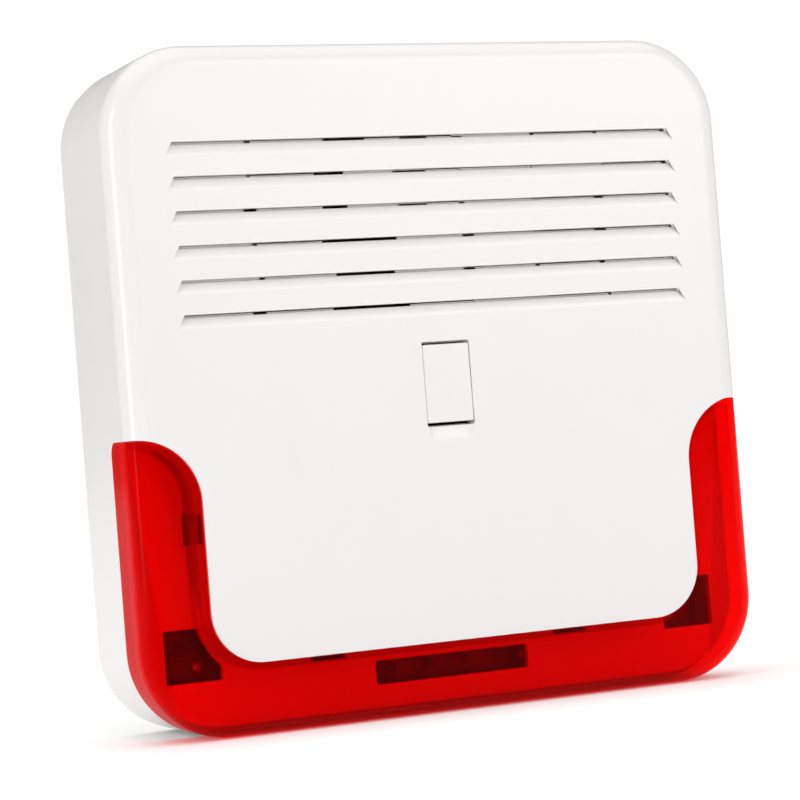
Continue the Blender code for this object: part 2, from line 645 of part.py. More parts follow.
def make_battery(finishes):
    section = rounded(-BATTERY_X, BATTERY_X, BATTERY_LOW, BATTERY_HIGH, 0.002, 3)
    piece("battery", prism("battery", section, BATTERY_FRONT, FLOOR - GAP), finishes["battery_case"])
    for name, x in (("battery_tab_negative", -0.040), ("battery_tab_positive", 0.040)):
        base = BATTERY_HIGH + GAP
        piece(name, block(name, (x - 0.0024, x + 0.0024), (-0.0384, -0.0376),
                          (base, base + 0.0063)), finishes["brass"])
    side = BATTERY_X + GAP
    front = BATTERY_FRONT - GAP
    foot = CLAMP_POST_X + 0.005
    out, back = side + CLAMP_T, EAR_BACK
    strap = [(-foot, back), (-foot, back - CLAMP_T), (-out, back - CLAMP_T), (-out, front - CLAMP_T),
             (out, front - CLAMP_T), (out, back - CLAMP_T), (foot, back - CLAMP_T), (foot, back),
             (side, back), (side, front), (-side, front), (-side, back)]
    clamp = piece("battery_clamp", closed_mesh("battery_clamp", [
        [(x, y, CLAMP_Z + dz) for x, y in strap] for dz in (-0.006, 0.006)]), finishes["steel"])
    holes = [prism("hole", circle(sign * CLAMP_POST_X, CLAMP_Z, 0.0015, 8), -0.02, 0.0)
             for sign in (-1, 1)]
    combine(clamp, "DIFFERENCE", helper("clamp_holes", merged("clamp_holes", holes)))
    for i, sign in enumerate((-1, 1), 1):
        make_screw(f"clamp_screw_{i}", sign * CLAMP_POST_X, CLAMP_Z, back - CLAMP_T, 0.0055,
                   finishes["steel"])


def make_strobes(finishes):
    corner = sorted(CORNER_BOARD_X)
    boards = (
        ("strobe_board_centre", (-CENTRE_BOARD_X, CENTRE_BOARD_X), CENTRE_BOARD_Z, strobe_posts()[:2]),
        ("strobe_board_left", (-corner[1], -corner[0]), CORNER_BOARD_Z, [strobe_posts()[2]]),
        ("strobe_board_right", corner, CORNER_BOARD_Z, [strobe_posts()[3]]),
    )
    screw = 0
    for name, xs, zs, posts in boards:
        board = piece(name, prism(name, rounded(*xs, *zs, 0.001, 1), STROBE_FRONT, STROBE_BACK),
                      finishes["circuit_board"])
        holes = [prism("hole", circle(x, z, 0.0015, 8), -0.04, 0.0) for x, z in posts]
        combine(board, "DIFFERENCE", helper(name + "_holes", merged(name + "_holes", holes)))
        for x, z in posts:
            screw += 1
            make_screw(f"strobe_screw_{screw}", x, z, STROBE_FRONT, 0.0060, finishes["steel"])
    leds = [(x, CENTRE_POST_Z) for x in CENTRE_LEDS]
    leds += [(-CORNER_LED[0], CORNER_LED[1]), CORNER_LED]
    base = STROBE_FRONT - GAP
    for i, (x, z) in enumerate(leds, 1):
        name = f"strobe_led_{i}"
        dome = [(LED_R * math.cos(math.radians(a)), base - 0.0034 - LED_R * math.sin(math.radians(a)))
                for a in (0, 30, 60)]
        piece(name, turned(name, x, z, [(0, base), (0.0029, base), (0.0029, base - 0.001),
                                        (LED_R, base - 0.001)] + dome
                           + [(0, base - 0.0034 - LED_R)], 12), finishes["led_lens"])


def make_cover_tamper(finishes):
    x, z = COVER_TAMPER
    face = BOARD_FRONT - GAP
    body = piece("cover_tamper_switch", block("cover_tamper_switch", (x - 0.0064, x + 0.0064),
                                              (-0.0235, face), (z - 0.0033, z + 0.0033)),
                 finishes["black_plastic"])
    combine(body, "DIFFERENCE", helper("tamper_well", prism("tamper_well", circle(x, z, 0.0019, 10),
                                                            -0.03, -0.0170)))
    piece("cover_tamper_plunger", turned("cover_tamper_plunger", x, z, [
        (0, COVER_TAMPER_TIP), (0.0010, COVER_TAMPER_TIP), (0.0015, COVER_TAMPER_TIP + 0.0006),
        (0.0015, -0.0180), (0, -0.0180)], 10), finishes["lead_red"],
        about=(x, COVER_TAMPER_TIP, z))


def make_wall_tamper(finishes):
    x, z = WALL_TAMPER
    tip = WALL_TAMPER_REACH
    collar = -0.0020 - GAP
    stem_end = GUIDE_TOP - 0.0029
    piece("wall_tamper_plunger", turned("wall_tamper_plunger", x, z, [
        (0, tip), (0.0020, tip), (0.0028, tip - 0.0008), (0.0028, collar), (0.0041, collar),
        (0.0041, collar - 0.0018), (0.0014, collar - 0.0018), (0.0014, stem_end), (0, stem_end)], 14),
        finishes["cover_plastic"], about=(x, tip, z))
    body = piece("wall_tamper_switch", block("wall_tamper_switch", (x - 0.0070, x + 0.0070),
                                             (-0.0220, GUIDE_TOP - GAP), (z - 0.0048, z + 0.0048)),
                 finishes["black_plastic"])
    combine(body, "DIFFERENCE", helper("stem_well", prism("stem_well", circle(x, z, 0.0019, 10),
                                                          -0.0202, 0.0)))

    wire, radius, turns, per_turn = 0.00035, 0.0034, 5, 10
    start, end = collar - 0.0018 - GAP - wire, GUIDE_TOP + wire
    points = []
    for i in range(turns * per_turn + 1):
        a = 2 * math.pi * i / per_turn
        share = i / (turns * per_turn)
        points.append((x + radius * math.cos(a), start + (end - start) * share,
                       z + radius * math.sin(a)))
    wire_piece("wall_tamper_spring", points, wire, finishes["steel"], 1)


# ---- leads ----

def smooth_route(points, spacing):
    """Points read off a smooth curve through the given ones, about spacing apart."""
    knots = [Vector(p) for p in points]
    ends = [knots[0] * 2 - knots[1]] + knots + [knots[-1] * 2 - knots[-2]]
    fine = []
    for a, b, c, d in zip(ends, ends[1:], ends[2:], ends[3:]):
        steps = max(2, round((c - b).length / spacing))
        for i in range(steps):
            t = i / steps
            fine.append(0.5 * ((2 * b) + (c - a) * t + (2 * a - 5 * b + 4 * c - d) * t * t
                               + (3 * b - a - 3 * c + d) * t ** 3))
    return fine + [knots[-1]]


def wire_piece(name, points, radius, finish, resolution):
    curve = bpy.data.curves.new(name, "CURVE")
    curve.dimensions = "3D"
    curve.bevel_depth = radius
    curve.bevel_resolution = resolution
    curve.use_fill_caps = True
    spline = curve.splines.new("POLY")
    spline.points.add(len(points) - 1)
    for point, spot in zip(spline.points, points):
        point.co = (*spot, 1.0)
    curve.materials.append(finish)
    thing = bpy.data.objects.new(name, curve)
    bpy.context.scene.collection.objects.link(thing)
    return thing


LEAD_R = 0.0011
LEAD_ROUTES = {
    "battery_lead_positive": ("lead_red", [
        (0.0400, -0.0402, -0.0280), (0.0410, -0.0395, -0.0215), (0.0500, -0.0340, -0.0120),
        (0.0545, -0.0290, -0.0030), (0.0550, -0.0250, 0.0050), (0.0550, -0.0208, 0.0070)]),
    "battery_lead_negative": ("lead_black", [
        (-0.0400, -0.0402, -0.0280), (-0.0380, -0.0390, -0.0225), (-0.0200, -0.0330, -0.0200),
        (0.0050, -0.0300, -0.0210), (0.0300, -0.0300, -0.0240), (0.0490, -0.0290, -0.0200),
        (0.0585, -0.0260, -0.0060), (0.0590, -0.0240, 0.0040), (0.0590, -0.0208, 0.0070)]),
    "siren_lead": ("lead_black", [
        (-0.0120, -0.0130, 0.0385), (-0.0180, -0.0140, 0.0320), (-0.0320, -0.0170, 0.0220),
        (-0.0420, -0.0190, 0.0180), (-0.0440, -0.0190, 0.0124)]),
    "strobe_lead_left": ("lead_red", [
        (-0.0700, -0.0199, -0.0110), (-0.0708, -0.0230, -0.0125), (-0.0740, -0.0245, -0.0170),
        (-0.0810, -0.0240, -0.0300), (-0.0900, -0.0240, -0.0500), (-0.0945, -0.0270, -0.0660),
        (-0.0950, -0.0288, -0.0747)]),
    "strobe_lead_right": ("lead_red", [
        (0.0700, -0.0199, -0.0110), (0.0708, -0.0230, -0.0125), (0.0740, -0.0245, -0.0170),
        (0.0820, -0.0240, -0.0280), (0.0920, -0.0240, -0.0500), (0.0948, -0.0270, -0.0660),
        (0.0950, -0.0288, -0.0747)]),
    "strobe_lead_centre": ("lead_red", [
        (-0.0920, -0.0288, -0.0974), (-0.0880, -0.0275, -0.1000), (-0.0740, -0.0250, -0.1045),
        (-0.0560, -0.0250, -0.1050), (-0.0440, -0.0270, -0.1020), (-0.0374, -0.0288, -0.1000)]),
}


def make_leads(finishes):
    for name, (finish, route) in LEAD_ROUTES.items():
        wire_piece(name, smooth_route(route, LEAD_R * 5), LEAD_R, finishes[finish], 2)


# ---- assembly ----

def main():
    for thing in list(bpy.data.objects):
        bpy.data.objects.remove(thing, do_unlink=True)
    finishes = make_materials()
    hinge = pivot("cover_hinge_axis", (0.0, HINGE_Y, HINGE_Z))
    screw_slide = pivot("cover_screw_slide", (SCREW_X, SCREW_SEAT, SCREW_Z), hinge)

    make_base(finishes["base_plastic"])
    make_hinge_pins(finishes["steel"])
    make_grommet(finishes["rubber"])
    make_control_board(finishes)
    make_siren(finishes)
    make_battery(finishes)
    make_strobes(finishes)
    make_cover_tamper(finishes)
    make_wall_tamper(finishes)
    make_leads(finishes)
    make_cover(finishes["cover_plastic"], hinge)
    make_lens(finishes["strobe_plastic"], hinge)
    make_flap(finishes["cover_plastic"], hinge)
    make_cover_screw(finishes["steel"], finishes["rubber"], screw_slide)


main()
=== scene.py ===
"""Looks of the alarm siren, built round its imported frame, and laid out as an add-on run as a script.

Metres, +Z up. The wall plane is Y = 0 and the cover's front face looks along -Y. Each operator
makes one piece, or one group of like pieces, and lets it ride on the body that carries it.
"""

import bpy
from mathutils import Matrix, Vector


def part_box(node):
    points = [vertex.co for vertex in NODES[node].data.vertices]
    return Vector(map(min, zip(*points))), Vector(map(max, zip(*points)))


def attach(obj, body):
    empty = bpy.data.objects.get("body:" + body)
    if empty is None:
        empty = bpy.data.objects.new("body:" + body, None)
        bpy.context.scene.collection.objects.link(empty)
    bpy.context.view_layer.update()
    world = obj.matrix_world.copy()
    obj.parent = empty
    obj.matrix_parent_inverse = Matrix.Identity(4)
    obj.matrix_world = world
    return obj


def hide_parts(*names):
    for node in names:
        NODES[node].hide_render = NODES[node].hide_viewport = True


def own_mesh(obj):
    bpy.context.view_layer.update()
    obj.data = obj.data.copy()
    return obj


bl_info = {
    "name": "Alarm siren",
    "version": (1, 0, 0),
    "blender": (4, 5, 0),
    "location": "View3D > Sidebar > Siren",
    "description": "Builds the visible pieces of a wall alarm siren with a strobe window",
    "category": "Object",
}

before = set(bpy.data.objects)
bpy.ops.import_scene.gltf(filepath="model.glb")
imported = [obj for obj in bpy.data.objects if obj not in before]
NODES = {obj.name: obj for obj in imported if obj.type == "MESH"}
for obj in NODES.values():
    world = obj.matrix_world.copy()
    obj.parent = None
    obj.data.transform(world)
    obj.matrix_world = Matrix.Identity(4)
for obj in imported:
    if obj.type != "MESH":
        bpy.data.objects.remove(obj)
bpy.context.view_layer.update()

import math

import bmesh
import bpy
from bpy.props import FloatProperty, FloatVectorProperty, IntProperty, PointerProperty
from mathutils import Matrix, Vector


def low(node):
    return Vector(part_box(node)[0])


def high(node):
    return Vector(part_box(node)[1])


def middle(node):
    return (low(node) + high(node)) / 2


# ---- sizes read from the frame ----
FRONT = low("front_cover").y
WIDTH = high("front_cover").x - low("front_cover").x
FLOOR_Z = low("front_cover").z
COVER_REAR = high("front_cover").y
LENS_REAR = high("strobe_lens").y
SCREW = middle("cover_screw")
SCREW_TOP = low("cover_screw").y
RING = middle("retaining_ring")
POCKET_LOW = low("screw_flap").z - 0.0012
HINGE = middle("hinge_pin_right")
FLAP_AXIS_Y = FRONT + 0.0013       # the pin line lies this far inside the face
FLAP_AXIS_Z = high("screw_flap").z - 0.0013
BASE_FLOOR = high("siren_driver").y + 0.0003
RIM_FRONT = -0.0140
BOARD_FRONT = low("control_board").y
BOARD_BACK = high("control_board").y
STROBE_BACK = high("strobe_board_left").y
EAR_BACK = high("battery_clamp").y
BOARD_SCREWS = [f"board_screw_{i}" for i in range(1, 5)]
SIREN_SCREWS = [f"siren_screw_{i}" for i in range(1, 4)]
CLAMP_SCREWS = [f"clamp_screw_{i}" for i in range(1, 3)]
STROBE_SCREWS = [f"strobe_screw_{i}" for i in range(1, 5)]
STROBE_LEDS = [f"strobe_led_{i}" for i in range(1, 7)]

# ---- fixed sizes of the moulding and the small parts ----
GAP = 0.0003
CORE_STEP = 0.0005          # how far the cover's core stands in from the lens
POCKET_WIDE, POCKET_TALL, POCKET_DEEP = 0.0178, 0.0290, 0.0036
POCKET_TOP = POCKET_LOW + POCKET_TALL
HOOK_Z = (-0.0505, -0.0405)         # the hooks on the window's arms
HOOK_T = 0.0024
KNUCKLE_R = 0.0026
PIN_HOLE_R = 0.0015
SCREW_HOLE_R = 0.0015
THROUGH = 0.02              # reach of a cut that goes right through the base's parts
GUIDE_FLOOR = -0.0020       # where the wall tamper's collar stops
SIDES = (-1, 1)
BOSS_END = -0.0140
BOSS_SEAT = -0.0439
RING_STOP = -0.0184
SOFT_EDGE = 0.00022         # rounding that polishing leaves on a moulded corner
LEAD_R = 0.0011
PITCH = 0.0007              # thread of the cover screw
TEETH = 7                   # splash teeth in a full row
SOUND_GAP = 2               # the splash tooth left out of a row, where the horn's note comes out
SET_ASIDE = {0: 0.62, 1: 0.38, 2: 0.44}     # rows that keep it, and how many teeth it stands aside

# routes of the leads, as the frame lays them
LEADS_RED = [
    [(0.0400, -0.0402, -0.0280), (0.0410, -0.0395, -0.0215), (0.0500, -0.0340, -0.0120),
     (0.0545, -0.0290, -0.0030), (0.0550, -0.0250, 0.0050), (0.0550, -0.0208, 0.0070)],
    [(-0.0700, -0.0199, -0.0110), (-0.0708, -0.0230, -0.0125), (-0.0740, -0.0245, -0.0170),
     (-0.0810, -0.0240, -0.0300), (-0.0900, -0.0240, -0.0500), (-0.0945, -0.0270, -0.0660),
     (-0.0950, -0.0288, -0.0747)],
    [(0.0700, -0.0199, -0.0110), (0.0708, -0.0230, -0.0125), (0.0740, -0.0245, -0.0170),
     (0.0820, -0.0240, -0.0280), (0.0920, -0.0240, -0.0500), (0.0948, -0.0270, -0.0660),
     (0.0950, -0.0288, -0.0747)],
    [(-0.0920, -0.0288, -0.0974), (-0.0880, -0.0275, -0.1000), (-0.0740, -0.0250, -0.1045),
     (-0.0560, -0.0250, -0.1050), (-0.0440, -0.0270, -0.1020), (-0.0374, -0.0288, -0.1000)],
]
LEADS_BLACK = [
    [(-0.0400, -0.0402, -0.0280), (-0.0380, -0.0390, -0.0225), (-0.0200, -0.0330, -0.0200),
     (0.0050, -0.0300, -0.0210), (0.0300, -0.0300, -0.0240), (0.0490, -0.0290, -0.0200),
     (0.0585, -0.0260, -0.0060), (0.0590, -0.0240, 0.0040), (0.0590, -0.0208, 0.0070)],
    [(-0.0120, -0.0130, 0.0385), (-0.0180, -0.0140, 0.0320), (-0.0320, -0.0170, 0.0220),
     (-0.0420, -0.0190, 0.0180), (-0.0440, -0.0190, 0.0124)],
]


def linear(code, alpha=1.0):
    """An sRGB hex colour as the linear values that shaders take."""
    parts = [int(code[i:i + 2], 16) / 255 for i in (1, 3, 5)]
    return (*[c / 12.92 if c <= 0.04045 else ((c + 0.055) / 1.055) ** 2.4 for c in parts], alpha)


def darkened(base, share):
    """A colour with its red, green and blue taken down by a share of themselves."""
    return (*[c * (1 - share) for c in base[:3]], 1.0)


# ---- sizes and colours that a user would change ----

def distance(name, description, default):
    return FloatProperty(name=name, description=description, default=default,
                         unit="LENGTH", subtype="DISTANCE", precision=5)


def colour(name, description, code):
    return FloatVectorProperty(name=name, description=description, default=linear(code),
                               subtype="COLOR", size=4, min=0.0, max=1.0)


class SirenCoverSizes(bpy.types.PropertyGroup):
    width: distance("Width", "Across the cover, and from its bottom to its top", WIDTH)
    corner: distance("Corner radius", "Corners of the front view", 0.030)
    edge: distance("Edge radius", "Rounding between the front face and the sides", 0.008)
    wall: distance("Wall", "Thickness of the moulding", 0.0026)
    louvres: IntProperty(name="Louvres", description="How many sound slots", default=6, min=1)
    pitch: distance("Louvre pitch", "From one slot to the next", 0.01145)
    top: distance("First slot", "Height of the top edge of the first slot", 0.0823)
    half: distance("Half length", "Half the length of a slot at its top edge", 0.0928)
    slot: distance("Slot", "Height of the open slot", 0.0010)
    drop: distance("Ramp height", "From the slot's top edge to the foot of its ramp", 0.0048)
    dip: distance("Ramp depth", "Depth of the ramp at the slot", 0.0017)
    flare: FloatProperty(name="Flare", description="How far the ends spread as the ramp drops",
                         default=0.55, min=0.0)


class SirenStrobeSizes(bpy.types.PropertyGroup):
    arm: distance("Arm edge", "From the middle to the inner edge of an arm", 0.0915)
    top: distance("Arm top", "Height of the top of the arms", -0.0148)
    bottom: distance("Bottom edge", "Height of the inner edge of the bottom", -0.0909)
    fillet: distance("Inner corner", "Radius of the inner corners of the U", 0.0178)
    shoulder: distance("Shoulder", "Radius of the round top of an arm", 0.0217)
    wall: distance("Wall", "Thickness of the window", 0.0024)
    floor: distance("Channel depth", "From the face to the channel's floor", 0.0145)
    clearance: distance("Clearance", "Gap between the window and the cover", 0.0004)
    rear_corner: distance("Rear corner", "Radius of the arms' rear corners, on the sides", 0.0045)


class SirenColours(bpy.types.PropertyGroup):
    cover: colour("Cover", "White ABS of the cover", "#E2E0DF")
    base: colour("Base", "White ABS of the base", "#DAD8D3")
    strobe: colour("Strobe window", "Red polycarbonate", "#EA0404")
    mask: colour("Circuit board", "Solder mask", "#12552F")
    case: colour("Battery", "Case of the backup battery", "#3A3D42")


def cover_sizes():
    return bpy.context.scene.siren_cover


def strobe_sizes():
    return bpy.context.scene.siren_strobe


# ---- shader and geometry nodes ----

def add(tree, kind, inputs=(), **settings):
    """Adds a node with its settings. inputs maps a socket to a value or to the outputs that feed it."""
    node = tree.nodes.new(kind)
    for key, value in settings.items():
        setattr(node, key, value)
    for key, value in dict(inputs).items():
        if isinstance(value, bpy.types.NodeSocket):
            tree.links.new(value, node.inputs[key])
        else:
            node.inputs[key].default_value = value
    return node


def calc(tree, operation, *terms):
    return add(tree, "ShaderNodeMath", dict(enumerate(terms)), operation=operation).outputs[0]


class Finish:
    """A material with one Principled shader, whose sockets vary over Object coordinates."""

    def __init__(self, name, sockets):
        self.material = bpy.data.materials.new(name)
        self.material.use_nodes = True
        self.tree = self.material.node_tree
        self.tree.nodes.clear()
        self.shader = add(self.tree, "ShaderNodeBsdfPrincipled", sockets)
        self.out = add(self.tree, "ShaderNodeOutputMaterial",
                       {"Surface": self.shader.outputs["BSDF"]})
        self.place = add(self.tree, "ShaderNodeTexCoord").outputs["Object"]

    def feed(self, socket, value):
        self.tree.links.new(value, self.shader.inputs[socket])

    def noise(self, size, detail=2.0):
        """Noise of one feature size, in metres."""
        return add(self.tree, "ShaderNodeTexNoise", {
            "Vector": self.place, "Scale": 1 / size, "Detail": detail}).outputs["Fac"]

    def mix(self, share, first, second):
        return add(self.tree, "ShaderNodeMix", {0: share, 6: first, 7: second},
                   data_type="RGBA").outputs[2]

    def span(self, value, least, most):
        return add(self.tree, "ShaderNodeMapRange", {"Value": value, "To Min": least,
                                                     "To Max": most}).outputs["Result"]

    def axis(self, name):
        return add(self.tree, "ShaderNodeSeparateXYZ", {"Vector": self.place}).outputs[name]

    def raise_by(self, height, distance):
        """Bump whose full height is a distance in metres."""
        bump = add(self.tree, "ShaderNodeBump", {"Height": height, "Strength": 1.0,
                                                 "Distance": distance})
        self.feed("Normal", bump.outputs["Normal"])


def speckled(name, sockets, base, share, patch, shine, size, height, detail=2.0, stretch=None):
    """Patches in which the colour drops by a share and the roughness varies between two values,
    over a grain of one size and height. stretch draws the grain out into lines."""
    made = Finish(name, sockets)
    cloud = made.noise(patch, 3.0)
    made.feed("Base Color", made.mix(cloud, darkened(base, share), tuple(base)))
    made.feed("Roughness", made.span(cloud, *shine))
    if stretch:
        made.place = add(made.tree, "ShaderNodeMapping", {
            "Vector": made.place, "Scale": stretch}).outputs["Vector"]
    made.raise_by(made.noise(size, detail), height)
    return made.material


def clear_red_polycarbonate(name, base):
    """Moulded polycarbonate dyed red: it filters what lies behind it, glows softly and shines."""
    made = Finish(name, {"IOR": 1.58, "Roughness": 0.10})
    made.feed("Base Color", made.mix(made.noise(0.025, 1.0), darkened(base, 0.10), tuple(base)))
    made.raise_by(made.noise(0.0020), 0.000004)
    clear = add(made.tree, "ShaderNodeBsdfTransparent", {"Color": linear("#FF2A28")})
    slant = add(made.tree, "ShaderNodeLayerWeight", {"Blend": 0.22}).outputs["Facing"]
    blend = add(made.tree, "ShaderNodeMixShader", {
        0: made.span(slant, 0.01, 0.52), 1: clear.outputs[0], 2: made.shader.outputs[0]})
    made.tree.links.new(blend.outputs[0], made.out.inputs["Surface"])
    return made.material


def zinc_plated_steel(name):
    """Steel with bright zinc plating: silvery, with a spangle of slightly bluer, duller spots."""
    made = Finish(name, {"Metallic": 1.0})
    spots = add(made.tree, "ShaderNodeTexVoronoi", {
        "Vector": made.place, "Scale": 1 / 0.0012}).outputs["Distance"]
    made.feed("Base Color", made.mix(spots, linear("#D9DADB"), linear("#B9BDC4")))
    made.feed("Roughness", made.span(spots, 0.24, 0.42))
    made.raise_by(made.noise(0.0004), 0.000008)
    return made.material


def solder_masked_board(name, base, track):
    """Glass-epoxy board under solder mask: copper tracks show as paler lines beneath the gloss."""
    made = Finish(name, {"Roughness": 0.28, "Coat Weight": 0.4, "Coat Roughness": 0.12})
    upright = add(made.tree, "ShaderNodeMapping", {
        "Vector": made.place, "Rotation": (math.radians(90), 0.0, 0.0)})
    tracks = add(made.tree, "ShaderNodeTexBrick", {
        "Vector": upright.outputs["Vector"], "Scale": 1.0, "Mortar Size": 0.00022,
        "Mortar Smooth": 0.1, "Brick Width": 0.0091, "Row Height": 0.0017,
        "Color1": tuple(base), "Color2": darkened(base, 0.18), "Mortar": linear(track)},
        offset=0.37)
    made.feed("Base Color", tracks.outputs["Color"])
    made.raise_by(tracks.outputs["Fac"], 0.00003)
    return made.material


def epoxy_lens(name):
    """Cast epoxy of a lamp, dyed deep red: glossy and nearly black until its chip lights up."""
    made = Finish(name, {"Transmission Weight": 0.85, "IOR": 1.50, "Roughness": 0.05})
    made.feed("Base Color", made.mix(made.noise(0.002, 1.0), linear("#5E0C0C"), linear("#7A1212")))
    return made.material


def battery_polypropylene(name, base):
    """Moulded case with a pale band of label film round its middle and nothing printed on it."""
    made = Finish(name, {"IOR": 1.49})
    height = made.axis("Z")
    label = calc(made.tree, "MULTIPLY",
                 calc(made.tree, "GREATER_THAN", height, low("battery").z + 0.008),
                 calc(made.tree, "LESS_THAN", height, high("battery").z - 0.014))
    case = made.mix(made.noise(0.006, 3.0), tuple(base), darkened(base, 0.2))
    made.feed("Base Color", made.mix(label, case, linear("#8E9BA6")))
    made.feed("Roughness", made.span(label, 0.55, 0.25))
    made.raise_by(made.noise(0.0007), 0.00002)
    return made.material


def capacitor_sleeve(name):
    """Shrunk PVC sleeve: dark blue and glossy, with a paler stripe down the negative side."""
    made = Finish(name, {"Roughness": 0.30})
    stripe = calc(made.tree, "LESS_THAN", made.axis("X"), low("capacitor_1").x + 0.0012)
    sleeve = made.mix(made.noise(0.003), linear("#1A2348"), linear("#243062"))
    made.feed("Base Color", made.mix(stripe, sleeve, linear("#9AA6C8")))
    made.raise_by(made.noise(0.0010), 0.00001)
    return made.material


def filled_nylon(code):
    """Glass-filled nylon: semi-matt, with a close grain from the fibres near its skin."""
    return lambda name: speckled(name, {"IOR": 1.52}, linear(code), 0.22, 0.006, (0.38, 0.55),
                                 0.0004, 0.00002, 3.0)


def extruded_pvc(code):
    """PVC insulation drawn over wire: evenly coloured and a little glossy, faintly lined."""
    return lambda name: speckled(name, {"IOR": 1.54}, linear(code), 0.12, 0.004, (0.34, 0.46),
                                 0.0008, 0.00001)


def finishes():
    """Every material of the object, made once and found again by its name."""
    colours = bpy.context.scene.siren_colours
    makers = {
        # from a polished mould: a soft gloss, with faint orange peel
        "moulded_white_abs": lambda n: speckled(n, {"IOR": 1.53}, colours.cover, 0.015, 0.035,
                                                (0.22, 0.29), 0.0011, 0.000004),
        # from a spark-eroded mould: matt and finely pebbled, drawn at 0.5 mm to show
        "textured_white_abs": lambda n: speckled(n, {"IOR": 1.53}, colours.base, 0.05, 0.020,
                                                 (0.55, 0.68), 0.0005, 0.00003, 4.0),
        "clear_red_polycarbonate": lambda n: clear_red_polycarbonate(n, colours.strobe),
        "zinc_plated_steel": zinc_plated_steel,
        # fine lines along the way the sheet was rolled
        "rolled_brass": lambda n: speckled(n, {"Metallic": 1.0}, linear("#D8B25C"), 0.14, 0.003,
                                           (0.26, 0.40), 0.0002, 0.000006, 2.0, (0.05, 1.0, 1.0)),
        # near black and dull, with a dusty bloom
        "moulded_rubber": lambda n: speckled(n, {"Specular IOR Level": 0.35}, linear("#2C2C2D"),
                                             0.35, 0.004, (0.62, 0.80), 0.0006, 0.00003),
        "glass_filled_nylon": filled_nylon("#232427"),
        "green_terminal_nylon": filled_nylon("#2F7A50"),
        "natural_nylon": filled_nylon("#E4E0D2"),
        "red_nylon": filled_nylon("#B81E1E"),
        "solder_masked_board": lambda n: solder_masked_board(n, colours.mask, "#2E8A50"),
        "black_masked_board": lambda n: solder_masked_board(n, linear("#0C0D0E"), "#191B1C"),
        "epoxy_lens": epoxy_lens,
        "battery_polypropylene": lambda n: battery_polypropylene(n, colours.case),
        "capacitor_sleeve_pvc": capacitor_sleeve,
        "extruded_red_pvc": extruded_pvc("#B4141A"),
        "extruded_black_pvc": extruded_pvc("#26262A"),
    }
    return {name: bpy.data.materials.get(name) or make(name) for name, make in makers.items()}


# ---- outlines and solids ----

def arc(x, z, radius, start, end, steps):
    angles = [math.radians(start + (end - start) * i / steps) for i in range(steps + 1)]
    return [(x + radius * math.cos(a), z + radius * math.sin(a)) for a in angles]


def rounded(x0, x1, z0, z1, radius, steps):
    """A rectangle with round corners, anticlockwise in the XZ plane."""
    return (arc(x1 - radius, z1 - radius, radius, 0, 90, steps)
            + arc(x0 + radius, z1 - radius, radius, 90, 180, steps)
            + arc(x0 + radius, z0 + radius, radius, 180, 270, steps)
            + arc(x1 - radius, z0 + radius, radius, 270, 360, steps))


def circle(x, z, radius, sides=32):
    return arc(x, z, radius, 0, 360 * (sides - 1) / sides, sides - 1)


def capsule(x0, z0, x1, z1, radius, steps=12):
    """The outline round a straight lobe from one point to another."""
    turn = math.degrees(math.atan2(z1 - z0, x1 - x0))
    return (arc(x1, z1, radius, turn - 90, turn + 90, steps)
            + arc(x0, z0, radius, turn + 90, turn + 270, steps))


def mesh_from(mesh, name="solid"):
    """Closes a bmesh off as mesh data, with its faces turned outwards."""
    bmesh.ops.recalc_face_normals(mesh, faces=mesh.faces)
    data = bpy.data.meshes.new(name)
    mesh.to_mesh(data)
    mesh.free()
    return data


def skinned(rings):
    """A solid skinned over rings of equal point count, with the first and last ring capped."""
    mesh = bmesh.new()
    loops = [[mesh.verts.new(point) for point in ring] for ring in rings]
    for first, second in zip(loops, loops[1:]):
        for i in range(len(first)):
            j = (i + 1) % len(first)
            mesh.faces.new((first[i], first[j], second[j], second[i]))
    mesh.faces.new(loops[0])
    mesh.faces.new(loops[-1])
    return mesh_from(mesh)


def prism(outline, y0, y1):
    """An XZ outline carried along Y."""
    return skinned([[(x, y, z) for x, z in outline] for y in (y0, y1)])


def slab(outline, x0, x1):
    """A YZ outline carried along X."""
    return skinned([[(x, y, z) for y, z in outline] for x in (x0, x1)])


def block(xs, ys, zs):
    return prism([(xs[0], zs[0]), (xs[1], zs[0]), (xs[1], zs[1]), (xs[0], zs[1])], *ys)


def turned(x, z, profile, sides=48):
    """A solid of revolution about a line along Y. The profile is a closed list of (radius, y)."""
    mesh = bmesh.new()
    loops = [[mesh.verts.new((px, y, pz)) for px, pz in circle(x, z, radius, sides)] if radius
             else [mesh.verts.new((x, y, z))] for radius, y in profile]
    pairs = list(zip(loops, loops[1:]))
    if profile[0][0] > 0:
        pairs.append((loops[-1], loops[0]))
    for first, second in pairs:
        for i in range(sides):
            j = (i + 1) % sides
            if len(first) == 1:
                mesh.faces.new((first[0], second[j], second[i]))
            elif len(second) == 1:
                mesh.faces.new((first[i], first[j], second[0]))
            else:
                mesh.faces.new((first[i], first[j], second[j], second[i]))
    return mesh_from(mesh)


def joined(meshes):
    mesh = bmesh.new()
    for data in meshes:
        mesh.from_mesh(data)
    return mesh_from(mesh)


def rounded_profile(corners, steps=4):
    """A closed (radius, y) profile whose listed corners (radius, y, fillet) are rounded."""
    out = []
    count = len(corners)
    for i, (r, y, fillet) in enumerate(corners):
        here = Vector((r, y))
        if fillet == 0:
            out.append((r, y))
            continue
        before = Vector(corners[i - 1][:2]) - here
        after = Vector(corners[(i + 1) % count][:2]) - here
        start = here + before.normalized() * min(fillet, before.length * 0.49)
        end = here + after.normalized() * min(fillet, after.length * 0.49)
        for k in range(steps + 1):
            t = k / steps
            point = start * (1 - t) ** 2 + here * (2 * t * (1 - t)) + end * t ** 2
            out.append((max(point.x, 0.0), point.y))
    return out


def facing(sign, near, far):
    """Two distances from the middle plane as ordered X values on one side of it."""
    return sorted((sign * near, sign * far))


